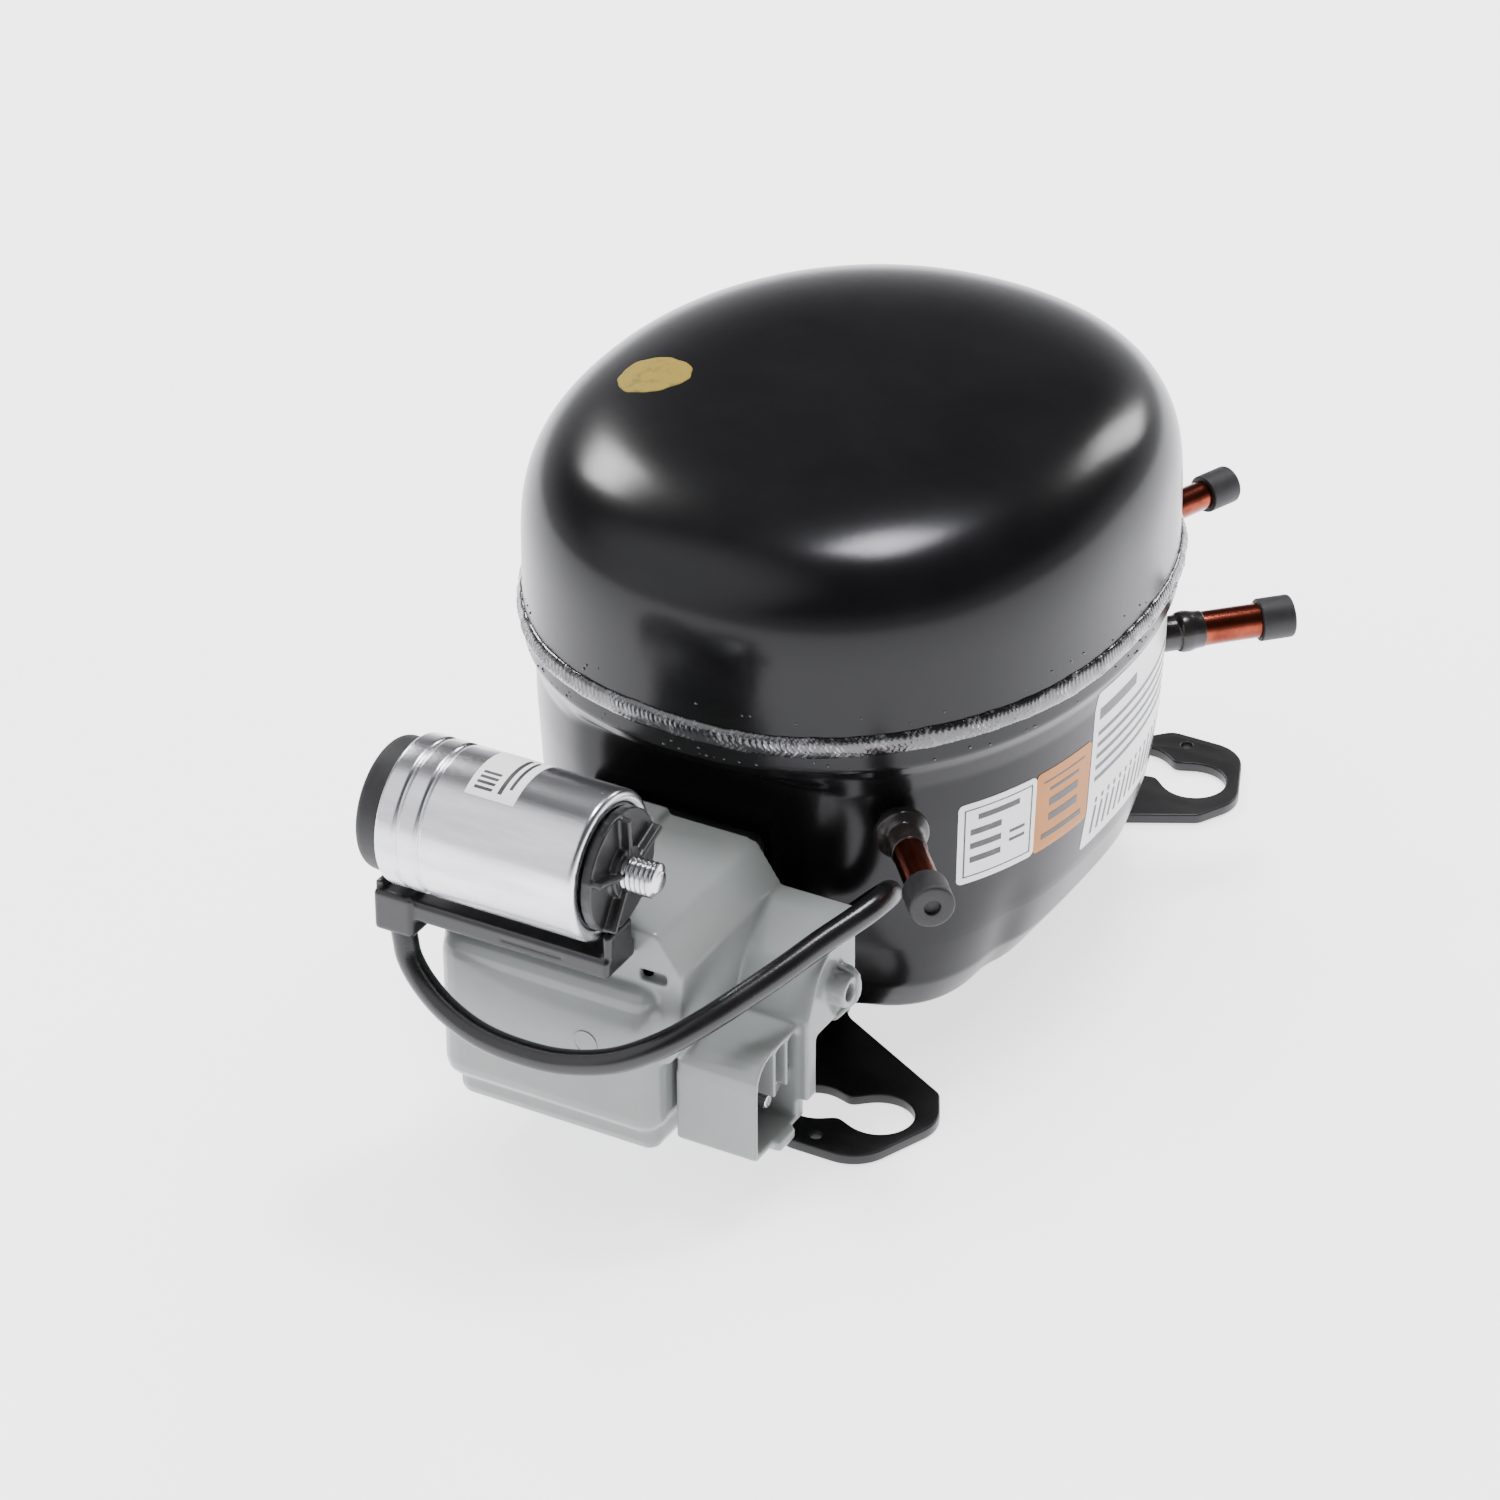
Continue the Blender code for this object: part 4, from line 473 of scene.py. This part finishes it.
def weld_spatter():
    """Small drops of weld metal under the paint, each a low half ball on the wall."""
    random = np.random.default_rng(21)
    count = 150
    bearing = random.uniform(0, 2 * np.pi, count)
    above = random.uniform(size=count) < 0.30
    over = SEAM_Z + random.uniform(0.0036, 0.0075, count)
    under = SEAM_Z - random.gamma(2.0, 0.0012, count) - 0.0034
    height = np.clip(np.where(above, over, under), 0.0868, SPRING_LINE_Z)
    size = random.uniform(0.00014, 0.00042, count)
    around = np.linspace(0, 2 * np.pi, 8, endpoint=False)
    lift, turn = np.meshgrid(np.radians([0, 30, 60, 84]), around, indexing="ij")
    points, faces, start = [], [], 0
    for b, z, r in zip(bearing, height, size):
        reach = oval(HALF_X, HALF_Y, SHELL_POWER, b)
        out = np.array([math.cos(b), math.sin(b), 0.0])
        side = np.array([-math.sin(b), math.cos(b), 0.0])
        local = (r * np.sin(lift))[..., None] * out + (r * np.cos(lift) * np.cos(turn))[..., None] * side
        local = local + (r * np.cos(lift) * np.sin(turn))[..., None] * np.array([0.0, 0.0, 1.0])
        cup, cap = closed_skin(local + np.array([CENTRE_X, 0, z]) + out * (reach - 0.00005))
        points.append(cup)
        faces += [[index + start for index in face] for face in cap]
        start += len(cup)
    piece("weld_spatter", np.concatenate(points), faces, "shell", WELD_PAINT, (), "gloss_black_paint", 80)


def label(bearings, heights, corner, lift=0.00010, columns=40, rows=12):
    """Thin film on the bowl between two bearings (degrees) and two heights.

    Near the top and bottom both ends draw in by c - sqrt(c^2 - (c - edge)^2), which rounds the corners.
    """
    (left, right), (low, high) = np.radians(bearings), heights
    tall = high - low
    t = np.linspace(0, 1, rows)
    if corner:
        near = corner * (1 - np.cos(np.linspace(0, np.pi / 2, 6)[:-1])) / tall
        start = corner / tall
        t = np.unique(np.concatenate([near, t[(t > start) & (t < 1 - start)], 1 - near, [start, 1 - start]]))
    edge = np.minimum(t, 1 - t) * tall
    round_in = corner - np.sqrt(np.maximum(corner ** 2 - (corner - edge) ** 2, 0))
    inset = (np.where(edge < corner, round_in, 0) / ((right - left) * HALF_X))[:, None]
    s = np.linspace(0, 1, columns)[None, :]
    bearing = left + (right - left) * (inset + (1 - 2 * inset) * s)
    z = (low + tall * t)[:, None] + 0 * bearing
    outer, inner = bowl_point(bearing, z, lift), bowl_point(bearing, z, -0.0002)
    count = len(t) * columns
    points = np.concatenate([outer.reshape(-1, 3), inner.reshape(-1, 3)])
    front = grid_faces(len(t), columns)
    index = np.arange(count).reshape(len(t), columns)
    rim = np.concatenate([index[0], index[1:, -1], index[-1, -2::-1], index[-2:0:-1, 0]])
    after = np.roll(rim, -1)
    sides = np.stack([rim, rim + count, after + count, after], -1)
    return points, outward(points, np.concatenate([front, front[:, ::-1] + count, sides]))


def shell_labels():
    """Rating label, and a two-part label, all with plain bars in place of print."""
    films = [("rating_label", LABEL_WHITE, label((-9.5, 34), (0.0385, 0.0835), 0.0012, columns=60, rows=24)),
             ("maker_label", LABEL_WHITE, label((-43.5, -26.4), (0.0485, 0.0705), 0.0014)),
             ("notice_label", LABEL_ORANGE, label((-26.4, -9.9), (0.0485, 0.0705), 0.0014))]
    for name, material, (points, faces) in films:
        piece(name, points, faces, "shell", material, (), "white_plastic", 30)
    bars = [((-42.2, -27.6), (0.0502, 0.0505)), ((-42.2, -27.6), (0.0686, 0.0689)),
            ((-42.3, -42.0), (0.0502, 0.0689)), ((-27.7, -27.4), (0.0502, 0.0689)),
            ((-39.5, -30.5), (0.0655, 0.0670)), ((-41.0, -34.5), (0.0540, 0.0556)),
            ((-41.0, -34.5), (0.0578, 0.0594)), ((-41.0, -34.5), (0.0616, 0.0632)),
            ((-32.6, -29.0), (0.0560, 0.0568)), ((-32.6, -29.0), (0.0584, 0.0592)),
            ((-24.4, -12.2), (0.0516, 0.0530)), ((-24.4, -12.2), (0.0672, 0.0676)),
            ((-22.6, -14.0), (0.0560, 0.0580)), ((-22.6, -14.0), (0.0602, 0.0622)),
            ((-22.6, -14.0), (0.0644, 0.0652)), ((-7.6, 8.0), (0.0745, 0.0775))]
    bars += [((-7.6, 30.0), (0.0700 - 0.0032 * row, 0.0712 - 0.0032 * row)) for row in range(5)]
    bars += [((b, b + 0.9), (0.0415, 0.0520)) for b in np.arange(-6.5, 28.0, 2.6)]
    points, faces, start = [], [], 0
    for bearings, heights in bars:
        some, quads = label(bearings, heights, 0.0, 0.00016, 12, 4)
        points.append(some)
        faces += (quads + start).tolist()
        start += len(some)
    piece("label_print", np.concatenate(points), faces, "shell", LABEL_INK, (), "white_plastic", 30)


def paint_dab():
    """Round dab of paint on the dome, thicker at its ragged edge."""
    centre, size = np.array([-0.0440, -0.0185]), 0.0088
    turn = np.linspace(0, 2 * np.pi, 96, endpoint=False)[None, :]
    share = np.concatenate([np.linspace(0.05, 0.85, 12), [0.92, 0.97, 1.0]])[:, None]
    ragged = 1 + 0.035 * np.sin(3 * turn + 0.6) + 0.018 * np.sin(7 * turn + 2) + 0.010 * np.sin(13 * turn)
    x = centre[0] + size * share * ragged * np.cos(turn) - CENTRE_X
    y = centre[1] + size * share * ragged * np.sin(turn)
    power = 2.05
    ratio = ((np.abs(x) / HALF_X) ** power + (np.abs(y) / HALF_Y) ** power) ** (1 / power)
    for _ in range(4):
        power = SHELL_POWER - 0.2 * (1 - ratio ** 4)
        ratio = ((np.abs(x) / HALF_X) ** power + (np.abs(y) / HALF_Y) ** power) ** (1 / power)
    z = SPRING_LINE_Z + (TOP_Z - SPRING_LINE_Z) * (1 - ratio ** 4) ** 0.25
    thick = 0.00010 + 0.00014 * np.exp(-((share - 0.90) / 0.06) ** 2)
    thick = np.where(share > 0.99, -0.00010, thick) + 0 * turn
    top = np.stack([x + CENTRE_X, y, z + thick], -1)
    low = np.stack([x + CENTRE_X, y, z - 0.0003 + 0 * turn], -1)
    points, faces = closed_skin(np.concatenate([top, low[::-1]]))
    piece("paint_dab", points, faces, "shell", YELLOW_PAINT, (), "white_plastic", 60)


# ---------------------------------------------------------------- base plates
def arc_corners(corners, steps=9):
    """Flat outline with each corner (x, y, radius) as an arc tangent to both its sides."""
    corners = np.array(corners, float)
    points = []
    for index, (x, y, radius) in enumerate(corners):
        here = np.array([x, y])
        before, after = corners[index - 1][:2] - here, corners[(index + 1) % len(corners)][:2] - here
        before, after = before / np.linalg.norm(before), after / np.linalg.norm(after)
        half = math.acos(np.clip(before @ after, -1, 1)) / 2
        middle = before + after
        centre = here + middle / np.linalg.norm(middle) * radius / math.sin(half)
        reach = radius / math.tan(half)
        first, last = here + before * reach - centre, here + after * reach - centre
        sweep = math.atan2(first[0] * last[1] - first[1] * last[0], first @ last)
        angle = math.atan2(first[1], first[0]) + sweep * np.linspace(0, 1, steps)
        points.append(centre + radius * np.stack([np.cos(angle), np.sin(angle)], -1))
    return np.concatenate(points)


def figure_eight(outer, inner, outer_radius, inner_radius, melt=0.0030):
    """Outline round two circles with a soft waist: where a smooth minimum of both distances is zero."""
    middle = (outer + inner) / 2
    turn = np.linspace(0, 2 * np.pi, 96, endpoint=False)
    ray = np.stack([np.cos(turn), np.sin(turn)], -1)
    low, high = np.zeros(len(turn)), np.full(len(turn), 0.03)
    for _ in range(40):
        here = (low + high) / 2
        spot = middle + ray * here[:, None]
        first = np.linalg.norm(spot - outer, axis=1) - outer_radius
        second = np.linalg.norm(spot - inner, axis=1) - inner_radius
        inside = -melt * np.logaddexp(-first / melt, -second / melt) < -melt * 0.25
        low, high = np.where(inside, here, low), np.where(inside, high, here)
    return middle + ray * low[:, None]


def plate(name, side):
    """One pressed plate: the outline with both figure-8 holes and both pilot holes, filled and rounded."""
    hole = np.array([0.0508, 0.08255])
    outline = [(0.0240, 0.08855, 0.006), (0.0358, 0.10125, 0.005), (0.0553, 0.10125, 0.0105),
               (0.0644, 0.07905, 0.0100), (0.0588, 0.06855, 0.004), (0.0240, 0.0500, 0.008),
               (0.0190, 0.0330, 0.006)]
    outline = outline + [(-x, y, radius) for x, y, radius in reversed(outline)]
    rims = [arc_corners(outline)]
    small = np.linspace(0, 2 * np.pi, 24, endpoint=False)
    for ear in (-1, 1):
        eight = figure_eight(hole, np.array([0.0350, 0.0850]), 0.0086, 0.0072)
        pilot = np.array([0.0418, 0.09685]) + 0.0014 * np.stack([np.cos(small), np.sin(small)], -1)
        rims += [eight * (ear, 1), pilot * (ear, 1)]
    low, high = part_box(name)
    curve = bpy.data.curves.new(name + "_rim", "CURVE")
    curve.dimensions, curve.fill_mode = "2D", "BOTH"
    curve.bevel_depth, curve.bevel_resolution = 0.00045, 3
    curve.offset = -0.00045
    curve.extrude = (high[2] - low[2]) / 2 - 0.00045
    for rim in rims:
        spline = curve.splines.new("POLY")
        spline.points.add(len(rim) - 1)
        flat = np.zeros(len(rim))
        spline.points.foreach_set("co", np.c_[rim[:, 0], side * rim[:, 1], flat, flat + 1].ravel())
        spline.use_cyclic_u = True
    guide = bpy.data.objects.new(name + "_rim", curve)
    bpy.context.scene.collection.objects.link(guide)
    mesh = bpy.data.meshes.new_from_object(guide.evaluated_get(bpy.context.evaluated_depsgraph_get()))
    bpy.data.objects.remove(guide)
    shape = bmesh.new()
    shape.from_mesh(mesh)
    bmesh.ops.remove_doubles(shape, verts=shape.verts, dist=0.000005)
    bmesh.ops.recalc_face_normals(shape, faces=shape.faces)
    points = np.array([vertex.co for vertex in shape.verts]) + (0, 0, (low[2] + high[2]) / 2)
    faces = [[vertex.index for vertex in face.verts] for face in shape.faces]
    shape.free()
    piece(name + "_plate", points, faces, "shell", FINISH["satin_black_paint"], (name,),
          "satin_black_paint", 30)


# ---------------------------------------------------------------- tubes and caps
TUBE_BACK = 0.0400                # how far back a tube is drawn from its end
CAP_END = 0.0016                  # how far a cap's end stands past the tube's
COLLAR_START = {"process": 0.0080, "suction": 0.0124, "discharge": 0.0044}   # along that length


def tube_set(name, heading, radius, collar, cap_radius, painted):
    """Connecting tube with its brazing collar, painted near the shell, and the rubber cap on its end."""
    along = np.array([math.cos(math.radians(heading)), math.sin(math.radians(heading)), 0.0])
    low, high = (np.array(corner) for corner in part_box(name + "_cap"))
    axis = 0 if abs(along[0]) > 0.5 else 1
    across = abs(along[1 - axis])
    length = (high[axis] - low[axis] - 2 * cap_radius * across) / abs(along[axis])
    tube_end = (low + high) / 2 + along * (length / 2 - CAP_END)
    base = tube_end - along * TUBE_BACK
    start = TUBE_BACK - painted
    bare = rounded([(0, start - 0.0006, 0), (radius, start - 0.0006, 0), (radius, TUBE_BACK, 0.0004),
                    (0, TUBE_BACK, 0)])
    lathe(name + "_stub", bare, base, along, "shell", FINISH["copper"], replaces=(name + "_tube",),
          slot="copper")
    root = COLLAR_START[name]
    lathe(name + "_root", rounded([(0, root - 0.012, 0), (radius + 0.0001, root - 0.012, 0),
                                   (radius + 0.0001, root, 0.0006), (collar, root + 0.0006, 0.0010),
                                   (collar, root + 0.0030, 0.0008), (radius + 0.00035, root + 0.0046, 0.0010),
                                   (radius + 0.00025, start, 0.0004), (0, start, 0)]),
          base, along, "shell", TUBE_BLACK, slot="gloss_black_paint")
    dent = 0.0019
    cup = rounded([(0, CAP_END - 0.0012, 0), (dent, CAP_END - 0.0012, 0.0003), (dent, CAP_END, 0.0003),
                   (cap_radius, CAP_END, 0.0009), (cap_radius, CAP_END - length, 0.0004),
                   (0, CAP_END - length, 0)])
    lathe(name + "_cap_skin", cup, tube_end, along, name + "_cap", FINISH["black_rubber"],
          replaces=(name + "_cap",), slot="black_rubber")


# ---------------------------------------------------------------- electrical box
def mould_mark():
    """Round ejector mark on the front of the lower tier: a shallow ring."""
    low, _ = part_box("terminal_cover")
    x, z = 0.0040, 0.0385
    profile = rounded([(0, 0.0, 0), (0.0031, 0.0, 0.0002), (0.0031, 0.00028, 0.0001), (0.0027, 0.00028, 0.0001),
                       (0.0025, 0.00010, 0.0001), (0, 0.00010, 0)])
    lathe("mould_mark", profile, (x, low[1] + 0.00005, z), (0, -1, 0), "electrical_box", FINISH["grey_plastic"],
          segments=48, slot="grey_plastic")


def boss_rim():
    """Raised rim round the plate behind the boss, swept along the plate's rounded edge."""
    _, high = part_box("terminal_cover")
    plate_front = -0.0947
    right, boss_z = high[0], 0.0450
    outline = arc_corners([(right - 0.0100, boss_z + 0.0046, 0.0004), (right - 0.0004, boss_z + 0.0038, 0.0035),
                           (right - 0.0004, boss_z - 0.0031, 0.0040), (right - 0.0062, boss_z - 0.0106, 0.0028),
                           (right - 0.0100, boss_z - 0.0106, 0.0004)], 7)
    path = np.stack([outline[:, 0], np.full(len(outline), plate_front), outline[:, 1]], -1)[2:-2]
    points, faces = tube_skin(path, 0.00060, 10)
    piece("boss_rim", points, faces, "electrical_box", FINISH["grey_plastic"], (), "grey_plastic", 60)


def tube_skin(path, radius, sides):
    """Circle carried along a path by parallel transport, closed at both ends."""
    path = np.asarray(path, float)
    tangent = np.gradient(path, axis=0)
    tangent /= np.linalg.norm(tangent, axis=1)[:, None]
    side = basis(tangent[0])[0]
    sides_list = []
    for direction in tangent:
        side = side - (side @ direction) * direction
        side = side / np.linalg.norm(side)
        sides_list.append(side)
    side = np.array(sides_list)
    up = np.cross(tangent, side)
    turn = np.linspace(0, 2 * np.pi, sides, endpoint=False)
    radius = np.broadcast_to(radius, (len(path),))[:, None, None]
    cosine, sine = np.cos(turn)[None, :, None], np.sin(turn)[None, :, None]
    return closed_skin(path[:, None] + radius * (cosine * side[:, None] + sine * up[:, None]))


# ---------------------------------------------------------------- capacitor
def capacitor():
    """Drawn can with rolled grooves and rim, film label, boot and threaded stud."""
    low, high = (np.array(corner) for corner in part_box("capacitor_can"))
    radius = (high[2] - low[2]) / 2
    axis = np.array([0.0, (low[1] + high[1]) / 2, (low[2] + high[2]) / 2])
    left, right = low[0], high[0]
    edge, groove = radius - 0.00005, 0.00055
    profile = [(0, left + 0.0001, 0), (edge, left + 0.0001, 0.0009)]
    for place in (0.0055, 0.0110):
        profile += [(edge, left + place - 0.0008, 0.0004), (edge - groove, left + place, 0.0005),
                    (edge, left + place + 0.0008, 0.0004)]
    profile += [(edge, right, 0.0016), (edge - 0.0030, right, 0.0009), (edge - 0.0036, right - 0.0008, 0.0004),
                (0, right - 0.0008, 0)]
    lathe("can_skin", rounded(profile, 7), axis, (1, 0, 0), "electrical_box", FINISH["aluminium"], 128,
          replaces=("capacitor_can",), slot="aluminium")
    boot_low, boot_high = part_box("capacitor_boot")
    rubber = (boot_high[2] - boot_low[2]) / 2
    lathe("boot_skin", rounded([(0, boot_high[0] - 0.0001, 0), (rubber, boot_high[0] - 0.0001, 0.0006),
                                (rubber, boot_low[0], 0.0022), (0, boot_low[0], 0)], 9),
          axis, (1, 0, 0), "electrical_box", FINISH["black_rubber"], 96, replaces=("capacitor_boot",),
          slot="black_rubber")
    stud_low, stud_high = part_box("capacitor_stud")
    stud, pitch = (stud_high[2] - stud_low[2]) / 2, 0.00125
    run = np.linspace(stud_low[0] - 0.0010, stud_high[0] - 0.0002, 150)
    taper = np.minimum(1, (stud_high[0] - run) / 0.0012 * 0.45 + 0.55)
    threads = np.stack([stud * taper, run], -1)

    def thread(points, angle):
        turn = points[:, 1:] / pitch - angle[None, :] / (2 * np.pi)
        return -0.00042 * (0.5 + 0.5 * np.cos(2 * np.pi * turn)) ** 0.8

    lathe("stud_thread", threads, axis, (1, 0, 0), "electrical_box", FINISH["zinc_steel"], 64, wave=thread,
          replaces=("capacitor_stud",), slot="zinc_steel", sharp=70)
    film_label(axis, edge, left)


def film_label(axis, radius, left):
    """White film on the can with plain bars."""
    def patch(x, degrees, lift):
        run = np.linspace(*x, 20)[:, None]
        turn = np.radians(np.linspace(*degrees, 24))[None, :]
        outer = np.stack([run + 0 * turn, axis[1] - (radius + lift) * np.cos(turn) + 0 * run,
                          axis[2] + (radius + lift) * np.sin(turn) + 0 * run], -1)
        inner = np.stack([run + 0 * turn, axis[1] - (radius - 0.0001) * np.cos(turn) + 0 * run,
                          axis[2] + (radius - 0.0001) * np.sin(turn) + 0 * run], -1)
        section = np.concatenate([outer, inner[:, ::-1]], axis=1)
        return closed_skin(section)
    start = left + 0.0190
    points, faces = patch((start, start + 0.0125), (58, 122), 0.00008)
    piece("can_label", points, faces, "electrical_box", LABEL_WHITE, (), "white_plastic", 30)
    some, quads, count = [], [], 0
    bars = [((start + 0.0015, start + 0.0060), (64 + 5 * row, 66.5 + 5 * row)) for row in range(4)]
    bars += [((start + 0.0075, start + 0.0085), (64, 112)), ((start + 0.0096, start + 0.0104), (70, 112))]
    for x, degrees in bars:
        points, faces = patch(x, degrees, 0.00013)
        some.append(points)
        quads += [[index + count for index in face] for face in faces]
        count += len(points)
    piece("can_print", np.concatenate(some), quads, "electrical_box", LABEL_INK, (), "white_plastic", 30)


# ---------------------------------------------------------------- lead
def smooth_route(route, count):
    """Evenly spread points on a Catmull-Rom curve through a route."""
    route = np.array(route)
    padded = np.vstack([2 * route[0] - route[1], route, 2 * route[-1] - route[-2]])
    t = np.linspace(0, 1, 20, endpoint=False)[None, :, None]
    a, b, c, d = (padded[k:len(padded) - 3 + k][:, None] for k in range(4))
    bend, twist = 2 * a - 5 * b + 4 * c - d, 3 * b - a - 3 * c + d
    dense = 0.5 * (2 * b + (c - a) * t + bend * t ** 2 + twist * t ** 3)
    dense = np.vstack([dense.reshape(-1, 3), route[-1:]])
    walked = np.concatenate([[0], np.cumsum(np.linalg.norm(np.diff(dense, axis=0), axis=1))])
    even = np.linspace(0, walked[-1], count)
    return np.stack([np.interp(even, walked, dense[:, axis]) for axis in range(3)], -1), walked[-1]


def lead():
    """Black sleeved lead from the holder's clip to the back of the box."""
    path, length = smooth_route(LEAD_ROUTE, 150)
    held = path[0] - (path[1] - path[0]) / np.linalg.norm(path[1] - path[0]) * 0.0032
    points, faces = tube_skin(np.vstack([held, path]), LEAD_RADIUS, 28)
    made = piece("lead_sleeve", points, faces, "electrical_box", FINISH["black_cable"], ("capacitor_lead",),
                 "black_cable", 60)


# ---------------------------------------------------------------- stage
def facing(bearing, height):
    """Unit vector at a bearing from -Y towards +X and a height angle, both in degrees."""
    bearing, height = math.radians(bearing), math.radians(height)
    level = math.cos(height)
    return np.array([math.sin(bearing) * level, -math.cos(bearing) * level, math.sin(height)])


def placed(columns, place):
    """Matrix whose columns are three unit vectors and a place."""
    rows = np.stack(columns, 1).tolist()
    return Matrix([[*row, shift] for row, shift in zip(rows, place.tolist())] + [[0, 0, 0, 1]])


def area_light(name, bearing, height, distance, size, power, tint=(1, 1, 1), aim=(0, 0, 0.07)):
    """Soft light that looks at a point, placed by its bearing from -Y towards +X and its height angle."""
    out = facing(bearing, height)
    data = bpy.data.lights.new(name, "AREA")
    data.shape, data.size, data.size_y = "RECTANGLE", size[0], size[1]
    data.energy, data.color = power, tint
    lamp = bpy.data.objects.new(name, data)
    bpy.context.scene.collection.objects.link(lamp)
    lamp.matrix_world = placed(basis(out), np.asarray(aim) + out * distance)


def stage():
    """Pale floor, even sky with a dim camera side, and soft lights behind, above and at the left."""
    size, level = 4.0, -0.0002
    corners = [(x * size, y * size, level) for x, y in ((-1, -1), (1, -1), (1, 1), (-1, 1))]
    mesh = bpy.data.meshes.new("floor")
    mesh.from_pydata(corners, [], [(0, 1, 2, 3)])
    mesh.materials.append(finish("pale floor", (0.90, 0.90, 0.93), 0.24, second=(0.89, 0.89, 0.92),
                                 mottle=3, spread=0.02, grain=60, depth=0.00001, Specular_IOR_Level=0.5,
                                 Emission_Color=(0.97, 0.97, 1.0, 1), Emission_Strength=1.9))
    floor = bpy.data.objects.new("floor", mesh)
    bpy.context.scene.collection.objects.link(floor)
    world = bpy.data.worlds.new("studio")
    bpy.context.scene.world = world
    world.use_nodes = True
    tree = world.node_tree
    place = node(tree, "ShaderNodeTexCoord")
    total = None
    glows = (                     # direction, the cosines where it fades in and is full, and its strength
        ((0, 0, -1), -0.42, -0.04, 0.95), ((-0.44, -0.62, 0.65), 0.70, 0.97, 1.7),
        ((0, 0, 1), -2.0, -1.9, 0.10))
    for direction, faint, full, strength in glows:
        lean = node(tree, "ShaderNodeVectorMath", operation="DOT_PRODUCT")
        lean.inputs[1].default_value = direction
        tree.links.new(place.outputs["Generated"], lean.inputs[0])
        share = node(tree, "ShaderNodeMapRange", interpolation_type="SMOOTHSTEP")
        for socket, value in (("From Min", faint), ("From Max", full), ("To Max", strength)):
            share.inputs[socket].default_value = value
        tree.links.new(lean.outputs["Value"], share.inputs["Value"])
        joined = node(tree, "ShaderNodeMath", operation="ADD")
        tree.links.new(share.outputs["Result"], joined.inputs[0])
        joined.inputs[1].default_value = 0.0
        if total:
            tree.links.new(total.outputs[0], joined.inputs[1])
        total = joined
    tree.nodes["Background"].inputs["Color"].default_value = (0.95, 0.95, 1.0, 1)
    tree.links.new(total.outputs[0], tree.nodes["Background"].inputs["Strength"])
    data = bpy.data.lights.new("open sky", "SUN")
    data.energy, data.angle = 3.4, math.radians(80)
    sky = bpy.data.objects.new("open sky", data)
    bpy.context.scene.collection.objects.link(sky)
    sky.rotation_euler = (math.radians(-14), math.radians(-10), 0)
    sky.visible_glossy = False
    area_light("left panel", -118, 38, 1.4, (0.34, 0.26), 9)
    area_light("top panel", 164, 77, 1.2, (0.30, 0.26), 13, (0.93, 0.93, 1.0))
    area_light("rear panel", 167, 27, 1.5, (0.28, 0.50), 8)


def camera():
    """Long lens high on the right of the electrical box, with a slight roll."""
    roll, distance, across, lift = math.radians(-0.39), 1.5, 0.0260, 0.0350
    back = facing(29.49, 31.61)
    right = np.cross([0.0, 0.0, 1.0], back)
    right /= np.linalg.norm(right)
    up = np.cross(back, right)
    turned_right = right * math.cos(roll) + up * math.sin(roll)
    turned_up = -right * math.sin(roll) + up * math.cos(roll)
    place = back * distance - turned_right * across + turned_up * lift
    data = bpy.data.cameras.new("camera")
    data.lens, data.sensor_width, data.clip_start = 148.26, 36.0, 0.05
    made = bpy.data.objects.new("camera", data)
    bpy.context.scene.collection.objects.link(made)
    made.matrix_world = placed([turned_right, turned_up, back], place)
    bpy.context.scene.camera = made


# ---------------------------------------------------------------- everything
for entry in frame["record"]["subparts"]:
    carried = frame["nodes"][entry["node"]]
    carried.data.materials.clear()
    carried.data.materials.append(FINISH[entry["material_slot"]])
camera()
lead()
shell_skins()
weld_ring()
weld_spatter()
shell_labels()
paint_dab()
plate("base_plate_front", -1)
plate("base_plate_rear", 1)
tube_set("process", -49.4, 0.0040, 0.0064, 0.0053, 0.0215)
tube_set("suction", 45.0, 0.0042, 0.0050, 0.0052, 0.0210)
tube_set("discharge", 68.9, 0.0036, 0.0046, 0.0047, 0.0300)
soften("box_cover", "terminal_cover", 0.00050, 6, FINISH["grey_plastic"], "electrical_box")
soften("can_holder", "capacitor_bracket", 0.00040, 3, FINISH["black_plastic"], "electrical_box", most=90000)
soften("can_end_cap", "capacitor_end_cap", 0.00032, 3, FINISH["black_plastic"], "electrical_box", most=90000)
for number in (1, 2):
    soften(f"blade_{number}", f"supply_terminal_{number}", 0.00020, 2, FINISH["zinc_steel"], "electrical_box",
           most=30000)
mould_mark()
boss_rim()
capacitor()
stage()
